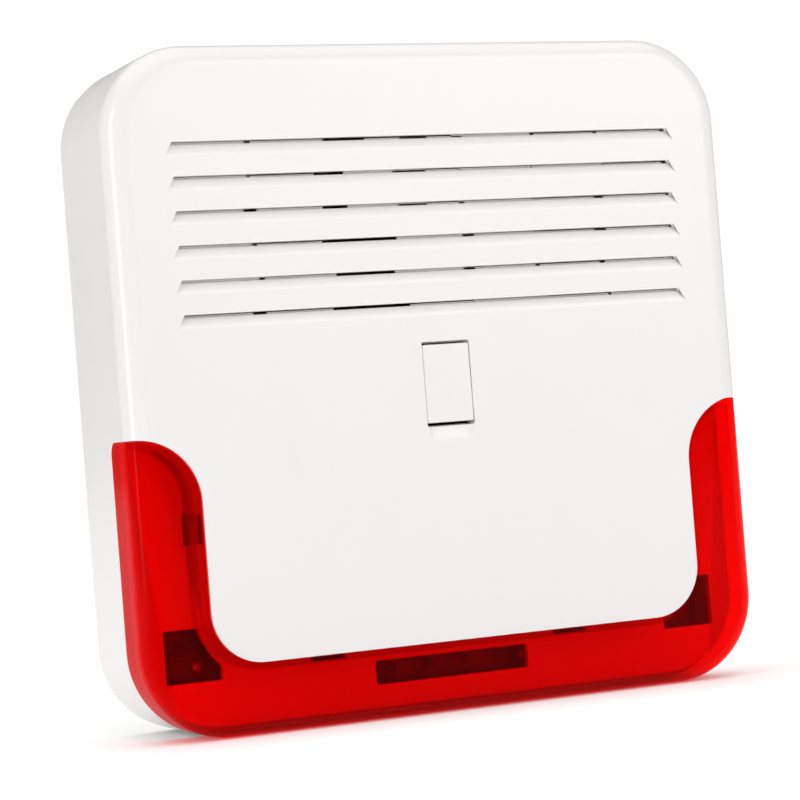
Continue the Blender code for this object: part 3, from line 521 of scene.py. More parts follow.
def both(make):
    """What make gives for the left side and for the right."""
    return joined([make(sign) for sign in SIDES])


def hinge_rods(radius, half, sides):
    """Rods on the hinge line, one at each pair of lugs, reaching half a length to either side."""
    return both(lambda sign: slab(circle(HINGE.y, HINGE.z, radius, sides), sign * HINGE.x - half,
                                  sign * HINGE.x + half))


def screw_holes(names):
    return joined([prism(circle(middle(n).x, middle(n).z, SCREW_HOLE_R, 24), -THROUGH, 0.0)
                   for n in names])


def thing_of(name, data=None):
    thing = bpy.data.objects.new(name, data or bpy.data.meshes.new(name))
    bpy.context.scene.collection.objects.link(thing)
    return thing


def taken(thing):
    """The mesh of an object that isn't needed any more."""
    data = thing.data
    bpy.data.objects.remove(thing)
    return data


def combine(thing, operation, shape):
    """Adds, cuts or intersects with a mesh or another object, which this uses up."""
    other = shape if isinstance(shape, bpy.types.Object) else thing_of("cutter", shape)
    modifier = thing.modifiers.new(operation.lower(), "BOOLEAN")
    modifier.operation = operation
    modifier.solver = "EXACT"
    modifier.object = other
    settle(thing)
    bpy.data.objects.remove(other)
    return thing


def cut(thing, *shapes):
    for shape in shapes:
        combine(thing, "DIFFERENCE", shape)
    return thing


def settle(thing):
    """Turns a piece's modifiers into plain mesh."""
    bpy.context.view_layer.update()
    graph = bpy.context.evaluated_depsgraph_get()
    data = bpy.data.meshes.new_from_object(thing.evaluated_get(graph))
    thing.modifiers.clear()
    thing.data = data
    if not data.polygons:
        raise RuntimeError(f"{thing.name} has no faces left")
    return thing


def soften(thing, width=SOFT_EDGE, angle=35.0, segments=2):
    """Rounds a piece's sharp edges and keeps its flat faces flat."""
    bevel = thing.modifiers.new("soft edges", "BEVEL")
    bevel.width = width
    bevel.segments = segments
    bevel.limit_method = "ANGLE"
    bevel.angle_limit = math.radians(angle)
    bevel.use_clamp_overlap = False
    bevel.miter_outer = "MITER_ARC"
    return flatten(thing)


def flatten(thing):
    """Smooth shading in which large flat faces stay flat and edges over 50 degrees stay sharp."""
    thing.data.shade_smooth()
    thing.data.set_sharp_from_angle(angle=math.radians(50))
    weighted = thing.modifiers.new("flat faces", "WEIGHTED_NORMAL")
    weighted.keep_sharp = True
    weighted.weight = 80
    return settle(thing)


def shade(thing, angle=32.0):
    thing.data.shade_smooth()
    thing.data.set_sharp_from_angle(angle=math.radians(angle))
    return thing


def dress(thing, finish, body, *nodes):
    """Gives a finished piece its material, the body it rides on and the nodes it stands for."""
    thing.data.materials.clear()
    thing.data.materials.append(finishes()[finish])
    thing.data.name = thing.name
    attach(thing, body)
    if nodes:
        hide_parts(*nodes)


# ---- geometry node trees ----

def new_tree(name, **sockets):
    """A geometry tree whose inputs are listed by type. Returns it and its input node's outputs."""
    tree = bpy.data.node_groups.new(name, "GeometryNodeTree")
    for kind, labels in {"Geometry": "Geometry", **sockets, "Material": "Material"}.items():
        for label in labels.split():
            tree.interface.new_socket(label, in_out="INPUT", socket_type="NodeSocket" + kind)
    tree.interface.new_socket("Geometry", in_out="OUTPUT", socket_type="NodeSocketGeometry")
    return tree, tree.nodes.new("NodeGroupInput").outputs


def end_tree(tree, geometry, finish):
    """Every tree ends in realised instances with their material."""
    real = add(tree, "GeometryNodeRealizeInstances", {"Geometry": geometry})
    painted = add(tree, "GeometryNodeSetMaterial", {"Geometry": real.outputs[0], "Material": finish})
    add(tree, "NodeGroupOutput", {"Geometry": painted.outputs[0]})
    return tree


def grown(thing, build, **values):
    """Runs the tree that build makes, with its inputs set by name, and keeps the plain mesh."""
    tree = bpy.data.node_groups.get(build.__name__) or build()
    modifier = thing.modifiers.new(tree.name, "NODES")
    modifier.node_group = tree
    for item in tree.interface.items_tree:
        if item.in_out == "INPUT" and item.name in values:
            modifier[item.identifier] = values[item.name]
    return settle(thing)


def vector(tree, **axes):
    return add(tree, "ShaderNodeCombineXYZ", axes).outputs[0]


def seeded(tree, least, most, seed):
    return add(tree, "FunctionNodeRandomValue", {2: least, 3: most, "Seed": seed}).outputs[1]


def spread(tree, points, part, **placing):
    """Copies of an object's mesh on points."""
    info = add(tree, "GeometryNodeObjectInfo", {"Object": part})
    return add(tree, "GeometryNodeInstanceOnPoints", {
        "Points": points, "Instance": info.outputs["Geometry"], **placing}).outputs[0]


def swept(tree, curve, radius, sides):
    """Solid round wire along a curve."""
    ring = add(tree, "GeometryNodeCurvePrimitiveCircle", {"Resolution": sides, "Radius": radius})
    return add(tree, "GeometryNodeCurveToMesh", {
        "Curve": curve, "Profile Curve": ring.outputs[0], "Fill Caps": True}).outputs[0]


def moulded_shell():
    """The siren's basic form: a rounded rectangle whose front edge turns in on a quarter circle.
    Rings of points run from the face to the rear, and Inset takes the whole form inwards."""
    tree, given = new_tree("moulded_shell", Int="Around Along",
                           Float="Width Height Corner Edge Inset Front Rear Middle")

    def plus(*terms):
        return calc(tree, "ADD", *terms)

    def less(*terms):
        return calc(tree, "SUBTRACT", *terms)

    def times(*terms):
        return calc(tree, "MULTIPLY", *terms)

    def over(*terms):
        return calc(tree, "DIVIDE", *terms)

    per_corner = plus(given["Around"], 1.0)
    around = times(per_corner, 4.0)
    tube = add(tree, "GeometryNodeMeshCylinder", {
        "Vertices": around, "Side Segments": plus(given["Along"], 1.0), "Radius": 1.0,
        "Depth": 1.0}, fill_type="NGON")
    index = add(tree, "GeometryNodeInputIndex").outputs[0]
    ring = calc(tree, "FLOOR", over(plus(index, 0.5), around))
    step = less(index, times(ring, around))
    quarter = calc(tree, "FLOOR", over(plus(step, 0.5), per_corner))
    share = over(less(step, times(quarter, per_corner)), given["Around"])
    turn = times(plus(quarter, share), math.pi / 2)
    heading = calc(tree, "MULTIPLY_ADD", quarter, math.pi / 2, math.pi / 4)
    lean = times(calc(tree, "MINIMUM", over(ring, given["Along"]), 1.0), math.pi / 2)
    edge = less(given["Edge"], given["Inset"])
    inward = times(edge, less(1.0, calc(tree, "SINE", lean)))
    reach = less(less(given["Corner"], given["Inset"]), inward)
    back = plus(plus(given["Front"], given["Inset"]),
                times(edge, less(1.0, calc(tree, "COSINE", lean))))
    last = calc(tree, "GREATER_THAN", ring, plus(given["Along"], 0.5))
    depth = plus(times(last, given["Rear"]), times(less(1.0, last), back))
    places = []
    for wave, side in (("COSINE", "Width"), ("SINE", "Height")):
        out = less(times(given[side], 0.5), given["Corner"])
        corner = times(times(calc(tree, wave, heading), math.sqrt(2)), out)
        places.append(plus(corner, times(reach, calc(tree, wave, turn))))
    spot = vector(tree, X=places[0], Y=depth, Z=plus(places[1], given["Middle"]))
    shaped = add(tree, "GeometryNodeSetPosition", {"Geometry": tube.outputs["Mesh"],
                                                   "Position": spot})
    return end_tree(tree, shaped.outputs[0], given["Material"])


def copies_on_points():
    """Copies of one small part on the points of a mesh, each turned about Y by a seeded amount."""
    tree, given = new_tree("copies_on_points", Object="Part", Float="Turn", Int="Seed")
    turn = vector(tree, Y=seeded(tree, 0.0, given["Turn"], given["Seed"]))
    copies = spread(tree, given["Geometry"], given["Part"], Rotation=turn)
    return end_tree(tree, copies, given["Material"])


def louvre_row():
    """Cuts a row of like slots down the cover: one cutter repeated along a line of points."""
    tree, given = new_tree("louvre_row", Object="Cutter", Int="Louvres", Float="Pitch")
    offset = vector(tree, Z=calc(tree, "MULTIPLY", given["Pitch"], -1.0))
    row = add(tree, "GeometryNodeMeshLine", {"Count": given["Louvres"], "Offset": offset})
    real = add(tree, "GeometryNodeRealizeInstances", {
        "Geometry": spread(tree, row.outputs[0], given["Cutter"])})
    cut_out = add(tree, "GeometryNodeMeshBoolean", {
        "Mesh 1": given["Geometry"], "Mesh 2": real.outputs[0]}, operation="DIFFERENCE",
        solver="EXACT")
    return end_tree(tree, cut_out.outputs[0], given["Material"])


def teeth_in_rows():
    """Short splash teeth behind the louvres, of seeded widths and at seeded heights and places."""
    tree, given = new_tree("teeth_in_rows", Object="Tooth", Float="Narrowest Widest Lift Push",
                           Int="Seed Second")
    wide = seeded(tree, given["Narrowest"], given["Widest"], given["Seed"])
    raised = seeded(tree, 0.0, given["Lift"], given["Seed"])
    back = calc(tree, "MULTIPLY", given["Push"], -1.0)
    pushed = seeded(tree, back, given["Push"], given["Second"])
    moved = add(tree, "GeometryNodeSetPosition", {
        "Geometry": given["Geometry"], "Offset": vector(tree, X=pushed, Z=raised)})
    teeth = spread(tree, moved.outputs[0], given["Tooth"], Scale=vector(tree, X=wide, Y=1.0, Z=1.0))
    return end_tree(tree, teeth, given["Material"])


def coil_spring():
    """A compression spring: a helix swept by round wire."""
    tree, given = new_tree("coil_spring", Float="Turns Radius Wire Length", Vector="Place")
    helix = add(tree, "GeometryNodeCurveSpiral", {
        "Resolution": 40, "Rotations": given["Turns"], "Start Radius": given["Radius"],
        "End Radius": given["Radius"], "Height": given["Length"]})
    placed = add(tree, "GeometryNodeTransform", {
        "Geometry": swept(tree, helix.outputs[0], given["Wire"], 12),
        "Translation": given["Place"], "Rotation": (math.radians(-90), 0.0, 0.0)})
    return end_tree(tree, placed.outputs[0], given["Material"])


def leads_on_routes():
    """Round insulated leads along routes that are given as chains of points."""
    tree, given = new_tree("leads_on_routes", Float="Radius Spacing")
    chain = add(tree, "GeometryNodeMeshToCurve", {"Mesh": given["Geometry"]})
    smooth = add(tree, "GeometryNodeCurveSplineType", {"Curve": chain.outputs[0]},
                 spline_type="CATMULL_ROM")
    even = add(tree, "GeometryNodeResampleCurve", {
        "Curve": smooth.outputs[0], "Length": given["Spacing"]}, mode="LENGTH")
    leads = swept(tree, even.outputs[0], given["Radius"], 20)
    return end_tree(tree, leads, given["Material"])


def shell(name, inset, rear, along=12):
    """The cover's outer form, or the same form taken inwards all over by inset."""
    sizes = cover_sizes()
    return grown(thing_of(name), moulded_shell, Width=sizes.width, Height=sizes.width,
                 Corner=sizes.corner, Edge=sizes.edge, Inset=inset, Front=FRONT, Rear=rear,
                 Middle=0.0, Around=20, Along=along)


def points_of(name, places, edges=(), faces=()):
    thing = thing_of(name)
    thing.data.from_pydata([tuple(p) for p in places], edges, faces)
    return thing


def copied(name, part, places, finish, turn=0.0, seed=1):
    """One piece made of copies of a small part, whose mesh is drawn about the origin."""
    sample = thing_of("sample", part)
    thing = grown(points_of(name, places), copies_on_points, Part=sample, Turn=turn, Seed=seed,
                  Material=finishes()[finish])
    bpy.data.objects.remove(sample)
    return shade(thing)


# ---- outlines shared by the cover and the window ----

def body_outline(inset):
    sizes = cover_sizes()
    half = sizes.width / 2 - inset
    return rounded(-half, half, -half, half, sizes.corner - inset, 20)


def band_outline(grow):
    """The strobe window's U, running past the cover on its outer sides. grow widens it inwards."""
    sizes = strobe_sizes()
    out = WIDTH / 2 + 0.010
    fillet = sizes.fillet - grow
    right = ([(out, -out), (out, sizes.top + grow)]
             + arc(sizes.arm + sizes.shoulder, sizes.top - sizes.shoulder, sizes.shoulder + grow,
                   90, 180, 24)
             + arc(sizes.arm - grow - fillet, sizes.bottom + grow + fillet, fillet, 0, -90, 18))
    return right + [(-x, z) for x, z in reversed(right)]


def channel(grow, inset, floor, back):
    """The space in front of the channel floor and outside the core that the window slides over."""
    return cut(thing_of("channel", prism(band_outline(grow), FRONT - 0.010, back)),
               prism(body_outline(inset), floor, 0.010))


def arm_corners(grow):
    """What the round rear corners at the tops of the window's arms leave over. grow shrinks it."""
    strobe = strobe_sizes()
    y, z = LENS_REAR - strobe.rear_corner, strobe.top - strobe.rear_corner
    behind, above = LENS_REAR + 0.004, strobe.top + 0.002
    outline = ([(behind, z)] + arc(y, z, strobe.rear_corner + grow, 0, 90, 10)
               + [(y, above), (behind, above)])
    return both(lambda sign: slab(outline, *facing(sign, 0.1080, 0.1300)))


def lens_hooks(clear):
    """Snap hooks on the window, or with clear above 0 the notches that take them."""
    sizes = strobe_sizes()
    floor = FRONT + sizes.floor
    ys = (floor - 0.0015 - clear, floor + 0.0026 + 0.0012 + clear)
    zs = (HOOK_Z[0] - clear, HOOK_Z[1] + clear)
    beneath = (sizes.bottom - HOOK_T - clear, sizes.bottom - GAP + clear)
    return both(lambda sign: joined([
        block(facing(sign, sizes.arm + GAP - clear, sizes.arm + HOOK_T + clear), ys, zs),
        block(facing(sign, 0.040 - clear, 0.052 + clear), ys, beneath)]))


def louvre_cutter():
    """The ramp and slot of the first louvre. The ramp bends in from the face to meet the slot."""
    sizes = cover_sizes()
    slot, foot = sizes.top - sizes.slot, sizes.top - sizes.drop
    steps, bend = 8, 1.6
    section = [(FRONT - 0.001, sizes.top), (FRONT - 0.001, foot)]
    for i in range(steps + 1):
        share = i / steps
        section.append((FRONT + sizes.dip * share ** bend, foot + (slot - foot) * share))
    section += [(FRONT + 0.004, slot), (FRONT + 0.004, sizes.top)]
    return skinned([[(side * (sizes.half + sizes.flare * (sizes.top - z)), y, z)
                     for y, z in section] for side in SIDES])


def cross_recess(x, top, z, reach, half):
    """A tapered cross, as a driver bit leaves in a screw head."""
    arms = []
    for wide, tall in ((reach, half), (half, reach)):
        rings = []
        for y, shrink in ((top - 0.0005, 1.0), (top + 0.0006, 0.85), (top + 0.0016, 0.45)):
            dx, dz = wide * shrink, tall * shrink
            rings.append([(x - dx, y, z - dz), (x + dx, y, z - dz), (x + dx, y, z + dz),
                          (x - dx, y, z + dz)])
        arms.append(skinned(rings))
    return combine(thing_of("recess", arms[0]), "UNION", arms[1])


# ---- operators ----

class Maker:
    """What the operators share: each builds its pieces, and is done."""

    def execute(self, context):
        self.build()
        return {"FINISHED"}


class SIREN_OT_cover(Maker, bpy.types.Operator):
    """Make the louvred cover, with its window channel, flap pocket, screw boss and hinge ears"""
    bl_idname = "siren.cover"
    bl_label = "Louvred cover"

    def build(self):
        sizes, strobe = cover_sizes(), strobe_sizes()
        wall, floor, back = sizes.wall, FRONT + strobe.floor, LENS_REAR + GAP
        core = strobe.wall + CORE_STEP
        cover = shell("louvred_cover", 0.0, COVER_REAR)
        cut(cover, cut(channel(0.0, core, floor, back), arm_corners(GAP)))
        cut(cover, cut(shell("hollow", wall, 0.010, 8),
                       channel(wall, core + wall, floor + wall, back + wall)))
        soften(cover)
        combine(cover, "UNION", self.features(FRONT + wall - 0.001))
        combine(cover, "UNION", prism(circle(SCREW.x, SCREW.z, 0.0066, 40),
                                      FRONT + wall - 0.001, BOSS_END))
        cut(cover, self.floor_windows(floor), lens_hooks(0.0005), both(lambda sign: block(
            facing(sign, strobe.arm - 0.0040, strobe.arm + 0.0010),
            (FRONT + 0.0030, floor + 0.0004), HOOK_Z)))
        cutter = thing_of("louvre", louvre_cutter())
        grown(cover, louvre_row, Cutter=cutter, Louvres=sizes.louvres, Pitch=sizes.pitch)
        bpy.data.objects.remove(cutter)
        cut(cover, turned(SCREW.x, SCREW.z, [
            (0, FRONT), (0.0044, FRONT), (0.0044, BOSS_SEAT + GAP), (0.0025, BOSS_SEAT + GAP),
            (0.0025, RING_STOP), (0.0042, RING_STOP), (0.0042, 0.010), (0, 0.010)], 40))
        pocket = rounded(-POCKET_WIDE / 2, POCKET_WIDE / 2, POCKET_LOW, POCKET_TOP, 0.0006, 5)
        cut(cover, prism(pocket, FRONT - 0.002, FRONT + POCKET_DEEP), self.fine_cuts(),
            self.pocket_slots())
        dress(flatten(cover), "moulded_white_abs", "cover", "front_cover")

    def features(self, inner):
        """Hinge ears, the pad behind the flap and the post that presses the tamper plunger."""
        ear = arc(HINGE.y, HINGE.z, KNUCKLE_R, 180, 360, 16)
        ear += [(HINGE.y + KNUCKLE_R, WIDTH / 2 - 0.001), (HINGE.y - KNUCKLE_R, WIDTH / 2 - 0.001)]
        press = middle("cover_tamper_plunger")
        return joined([
            both(lambda sign: slab(ear, sign * HINGE.x - 0.0017, sign * HINGE.x + 0.0017)),
            block((-0.0125, 0.0125), (inner, FRONT + POCKET_DEEP + 0.002),
                  (POCKET_LOW - 0.003, POCKET_TOP + 0.003)),
            prism(circle(press.x, press.z, 0.0025, 24), inner, low("cover_tamper_plunger").y - GAP)])

    def floor_windows(self, floor):
        """The windows in the channel's floor and the trim of the skirt."""
        through = (floor - 0.002, floor + 0.0042)
        corner = ((0.1040, -0.0785), (0.1040, -0.0965), (0.0840, -0.0965), (0.0840, -0.0918),
                  (0.0873, -0.0880), (0.0905, -0.0820), (0.0912, -0.0785))
        return joined([
            prism(rounded(-0.029, 0.029, -0.1043, -0.0960, 0.0012, 5), *through),
            block((-0.2, 0.2), (-0.003, 0.005), (0.1045, 0.2)),
            both(lambda sign: prism([(sign * x, z) for x, z in corner], *through))])

    def fine_cuts(self):
        """The holes for the hinge pins and the flap's pins, and the scoop for a finger nail."""
        scoop = ((-0.0085, 0.01055), (-0.0078, 0.0110), (-0.0068, 0.0113), (-0.0050, 0.0115),
                 (0.0050, 0.0115), (0.0068, 0.0113), (0.0078, 0.0110), (0.0085, 0.01055))
        return joined([
            hinge_rods(PIN_HOLE_R, 0.003, 24),
            slab(circle(FLAP_AXIS_Y, FLAP_AXIS_Z, 0.00112, 16), -0.0108, 0.0108),
            skinned([[(x, y, z) for y, z in circle(FRONT - 0.0105, POCKET_LOW - 0.0002, r, 96)]
                     for x, r in scoop])])

    def pocket_slots(self):
        """Slots through the pocket's floor along the flap's top and bottom, as its mould needs."""
        xs = (-0.0086, 0.0086)
        ys = (FRONT + POCKET_DEEP - 0.0005, FRONT + POCKET_DEEP + 0.0030)
        return joined([block(xs, ys, (POCKET_TOP - 0.0013, POCKET_TOP - 0.0004)),
                       block(xs, ys, (POCKET_LOW + 0.0003, POCKET_LOW + 0.0015))])


class SIREN_OT_teeth(Maker, bpy.types.Operator):
    """Make the splash teeth behind the louvres, and near-black blocks behind the hook notches as
    painted shade that keeps them dark
    """
    bl_idname = "siren.teeth"
    bl_label = "Splash teeth and pads"

    def build(self):
        sizes, strobe = cover_sizes(), strobe_sizes()
        inner = FRONT + sizes.wall
        step = 2 * sizes.half / TEETH
        kept = [(row, i + (SET_ASIDE.get(row, 0.0) if i == SOUND_GAP else 0.0))
                for row in range(sizes.louvres) for i in range(TEETH)
                if i != SOUND_GAP or row in SET_ASIDE]
        places = [(step * (at + 0.5 - TEETH / 2), inner,
                   sizes.top - sizes.slot - sizes.pitch * row) for row, at in kept]
        tooth = thing_of("tooth", block((-step / 2, step / 2), (0.0003, 0.0013), (-0.0010, 0.0006)))
        teeth = grown(points_of("splash_teeth", places), teeth_in_rows, Tooth=tooth,
                      Narrowest=0.85, Widest=1.15, Lift=0.0004, Push=0.0025, Seed=7, Second=23,
                      Material=finishes()["moulded_white_abs"])
        bpy.data.objects.remove(tooth)
        dress(teeth, "moulded_white_abs", "cover")

        # Near-black blocks behind the hook notches: painted shade, so the notches look dark and hide
        # the lit parts inside.
        floor, side = FRONT + strobe.floor, strobe.arm - sizes.wall - 0.0001
        shade_blocks = both(lambda sign: joined([
            block(facing(sign, side - 0.0020, side), (inner + 0.0002, floor + 0.0060),
                  (-0.0525, -0.0385)),
            block(facing(sign, 0.0385, 0.0535), (floor + 0.0044, floor + 0.0060),
                  (-0.0950, -0.0890))]))
        dress(soften(thing_of("hook_pads", shade_blocks), 0.0003), "moulded_rubber", "cover")


class SIREN_OT_window(Maker, bpy.types.Operator):
    """Make the red U-shaped strobe window, with the hooks that hold it in the cover"""
    bl_idname = "siren.window"
    bl_label = "Strobe window"

    def build(self):
        strobe = strobe_sizes()
        lens = shell("strobe_window", 0.0, LENS_REAR)
        combine(lens, "INTERSECT", prism(band_outline(-strobe.clearance), FRONT - 0.01, 0.01))
        hollow = combine(shell("hollow", strobe.wall, 0.010, 9), "INTERSECT",
                         prism(band_outline(-strobe.wall), FRONT - 0.01, 0.02))
        cut(lens, hollow, prism(body_outline(strobe.wall), FRONT + strobe.floor - GAP, 0.01),
            arm_corners(0.0))
        combine(lens, "UNION", lens_hooks(0.0))
        dress(soften(lens), "clear_red_polycarbonate", "cover", "strobe_lens")


class SIREN_OT_flap(Maker, bpy.types.Operator):
    """Make the little flap over the cover screw, with its two pins"""
    bl_idname = "siren.flap"
    bl_label = "Screw flap"

    def build(self):
        bottom, top = low("screw_flap"), high("screw_flap")
        flap = grown(thing_of("flap_tile"), moulded_shell, Width=0.0175, Height=top.z - bottom.z,
                     Corner=0.0007, Edge=0.0006, Inset=0.0, Front=FRONT, Rear=top.y,
                     Middle=(top.z + bottom.z) / 2, Around=5, Along=5)
        combine(flap, "UNION", slab(circle(FLAP_AXIS_Y, FLAP_AXIS_Z, 0.0009, 20), -0.0103, 0.0103))
        dress(flatten(flap), "moulded_white_abs", "flap", "screw_flap")


class SIREN_OT_cover_screw(Maker, bpy.types.Operator):
    """Make the captive cover screw and the rubber ring that keeps it in the cover"""
    bl_idname = "siren.cover_screw"
    bl_label = "Cover screw"

    def build(self):
        head_r, shank_r, root_r = 0.0038, 0.0020, 0.0016
        tip = high("cover_screw").y
        profile = [(0, SCREW_TOP), (0.0024, SCREW_TOP + 0.0001), (0.0033, SCREW_TOP + 0.0005),
                   (head_r, SCREW_TOP + 0.0012), (head_r, BOSS_SEAT), (shank_r, BOSS_SEAT),
                   (shank_r, tip - 0.0090)]
        for i in range(int(0.0078 / PITCH)):
            y = tip - 0.0088 + PITCH * i
            profile += [(shank_r, y), (root_r, y + PITCH * 0.45)]
        profile += [(root_r, tip - 0.0009), (0.0011, tip), (0, tip)]
        screw = cut(thing_of("captive_screw", turned(SCREW.x, SCREW.z, profile)),
                    cross_recess(SCREW.x, SCREW_TOP, SCREW.z, 0.0024, 0.0005))
        dress(shade(screw), "zinc_plated_steel", "screw", "cover_screw")
        edge = high("retaining_ring").x - RING.x
        front, back = low("retaining_ring").y, high("retaining_ring").y
        ring = thing_of("captive_ring", turned(RING.x, RING.z, rounded_profile([
            (0.0023, front, 0.0002), (0.0023, back, 0.0002), (edge, back, 0.0003),
            (edge, front, 0.0003)])))
        dress(shade(ring), "moulded_rubber", "screw_carrier", "retaining_ring")


class SIREN_OT_base(Maker, bpy.types.Operator):
    """Make the base, with its rim, posts, ribs, hinge lugs and holes"""
    bl_idname = "siren.base"
    bl_label = "Base"

    def build(self):
        sizes = cover_sizes()
        bottom, top = low("back_plate"), high("back_plate")
        rim, shelf = 0.0020, 0.1035
        radius = sizes.corner - bottom.x - WIDTH / 2
        base = thing_of("moulded_base", prism(
            rounded(bottom.x, top.x, bottom.z, shelf, radius, 20), RIM_FRONT, 0.0))
        cut(base, prism(rounded(bottom.x + rim, top.x - rim, bottom.z + rim, shelf - rim,
                                radius - rim, 20), -THROUGH, BASE_FLOOR))
        posts = [(middle(name).x, middle(name).z, r, top + GAP)
                 for names, r, top in ((BOARD_SCREWS, 0.0030, BOARD_BACK),
                                       (STROBE_SCREWS, 0.0030, STROBE_BACK),
                                       (SIREN_SCREWS, 0.0035, EAR_BACK),
                                       (CLAMP_SCREWS, 0.0040, EAR_BACK)) for name in names]
        tamper = middle("wall_tamper_plunger")
        combine(base, "UNION", self.solids(posts, tamper))
        cut(base, self.holes(posts, tamper), self.ejector_marks())
        dress(soften(base, 0.0003), "textured_white_abs", "base", "back_plate")

    def solids(self, posts, tamper):
        """Posts with (x, z, radius, top), the two guides, the hinge lugs and the battery's ribs."""
        root = BASE_FLOOR + 0.001
        parts = [prism(circle(x, z, r), top, root) for x, z, r, top in posts]
        parts.append(prism(circle(SCREW.x, SCREW.z, 0.0060, 40), -0.0112, root))
        parts.append(prism(circle(tamper.x, tamper.z, 0.0058, 40), RIM_FRONT, root))
        side, foot, rib = high("battery").x, low("battery").z, (-0.012, root)
        lug = arc(HINGE.y, HINGE.z, KNUCKLE_R, 0, 180, 16)
        lug += [(HINGE.y - KNUCKLE_R, 0.095), (BASE_FLOOR + 0.0008, 0.095),
                (BASE_FLOOR + 0.0008, 0.103), (HINGE.y + KNUCKLE_R, 0.103)]
        for sign in SIDES:
            for start in (sign * HINGE.x - 0.0052, sign * HINGE.x + 0.0022):
                parts.append(slab(lug, start, start + 0.0030))
            for zs in ((-0.082, -0.068), (-0.046, -0.034)):
                parts.append(block(facing(sign, side + 0.0006, side + 0.0026), rib, zs))
        parts.append(block((-0.040, 0.040), rib, (foot - 0.0026, foot - 0.0006)))
        return joined(parts)

    def holes(self, posts, tamper):
        """Pilot holes, wall screw holes, the cable's and the cover screw's, and the two bores."""
        cable = middle("cable_grommet")
        parts = [prism(circle(x, z, 0.0013, 20), top - 0.002, min(top + 0.0065, -0.001))
                 for x, z, r, top in posts]
        for x, z in ((-0.088, 0.084), (0.088, 0.084), (-0.062, -0.098), (0.062, -0.098)):
            parts.append(prism(circle(x, z, 0.00275), -THROUGH, 0.01))
        parts.append(prism(circle(cable.x, cable.z, 0.0070, 48), -THROUGH, 0.01))
        parts.append(prism(circle(SCREW.x, SCREW.z, 0.0026), -THROUGH, -0.0045))
        parts.append(turned(tamper.x, tamper.z, [
            (0, RIM_FRONT - 0.001), (0.0045, RIM_FRONT - 0.001), (0.0045, GUIDE_FLOOR),
            (0.0033, GUIDE_FLOOR), (0.0033, 0.001), (0, 0.001)], 40))
        return joined(parts + [hinge_rods(PIN_HOLE_R, 0.007, 24)])

    def ejector_marks(self):
        """Shallow round marks on the back, where the mould's pins pushed the plate out."""
        return joined([prism(circle(x, z, 0.0040), -0.00015, 0.001)
                       for x in (-0.072, -0.024, 0.024, 0.072)
                       for z in (-0.066, -0.014, 0.038, 0.088) if abs(z) < 0.08 or abs(x) < 0.05])


class SIREN_OT_fixings(Maker, bpy.types.Operator):
    """Make the pan-head screws of the boards, the siren and the clamp, and the hinge pins"""
    bl_idname = "siren.fixings"
    bl_label = "Screws and pins"

    def build(self):
        sample = cut(thing_of("sample", turned(0.0, 0.0, [
            (0, 0), (0.0011, 0.00005), (0.0018, 0.0003), (0.0023, 0.0008), (0.0024, 0.0012),
            (0.0024, 0.0016), (0.0009, 0.0016), (0.0009, 0.0050), (0, 0.0056)], 28)),
            cross_recess(0.0, 0.0, 0.0, 0.0015, 0.0003))
        names = BOARD_SCREWS + SIREN_SCREWS + CLAMP_SCREWS + STROBE_SCREWS
        screws = copied("pan_head_screws", taken(sample), [
            (middle(n).x, low(n).y, middle(n).z) for n in names], "zinc_plated_steel",
            math.pi / 2, 11)
        dress(screws, "zinc_plated_steel", "base", *names)
        pins = soften(thing_of("hinge_pins", hinge_rods(0.0012, 0.0056, 28)), 0.0002)
        dress(pins, "zinc_plated_steel", "base", "hinge_pin_left", "hinge_pin_right")


class SIREN_OT_horn(Maker, bpy.types.Operator):
    """Make the flared horn, the driver behind it and its brass diaphragm"""
    bl_idname = "siren.horn"
    bl_label = "Siren horn"

    def build(self):
        centre = middle("siren_horn")
        mouth, throat = low("siren_horn").y, high("siren_horn").y
        throat_r, mouth_r, can_r, steps = 0.0090, 0.0390, 0.0230, 24
        inner, outer = [], []
        for i in range(steps + 1):
            share = i / steps
            y = throat + (mouth - throat) * share
            radius = throat_r * (mouth_r / throat_r) ** share
            inner.append((radius, y))
            if 0.12 < share < 0.93:
                outer.append((radius + 0.0016, y))
        rim = high("siren_horn").x - centre.x
        lip = [(rim - 0.0006, mouth), (rim, mouth + 0.0006), (rim, mouth + 0.0014)]
        flange = [(0.0130, throat - 0.0025), (can_r - 0.0004, throat - 0.0025),
                  (can_r, throat - 0.0021), (can_r, throat)]
        horn = thing_of("flared_horn", turned(centre.x, centre.z,
                                              inner + lip + outer[::-1] + flange, 96))
        dress(shade(horn, 40), "glass_filled_nylon", "base", "siren_horn")

        front, rear = low("siren_driver").y, high("siren_driver").y
        can = thing_of("driver_can", turned(centre.x, centre.z, rounded_profile([
            (0, rear, 0), (can_r, rear, 0.0014), (can_r, front, 0.0004), (0.0210, front, 0.0003),
            (0.0210, -0.0060, 0.0010), (0, -0.0060, 0)]), 72))
        ears = []
        for spot in map(middle, SIREN_SCREWS):
            start = Vector((spot.x, spot.z)).lerp(Vector((centre.x, centre.z)), 0.13)
            ears.append(prism(capsule(start.x, start.y, spot.x, spot.z, 0.0042),
                              EAR_BACK - 0.0030, EAR_BACK))
        combine(can, "UNION", joined(ears))
        cut(can, screw_holes(SIREN_SCREWS))
        dress(soften(can, 0.0002), "glass_filled_nylon", "base", "siren_driver")

        domed = [(0, -0.0180), (0.004, -0.01785), (0.008, -0.0175), (0.0100, -0.0171),
                 (0.0115, -0.0174), (0.0130, -0.0170), (0.0160, -0.0167), (0.0205, -0.0165)]
        back = [(r, y + 0.0005) for r, y in reversed(domed)]
        dome = thing_of("driver_dome", turned(centre.x, centre.z, domed + back, 64))
        dress(shade(dome, 50), "rolled_brass", "base", "siren_diaphragm")


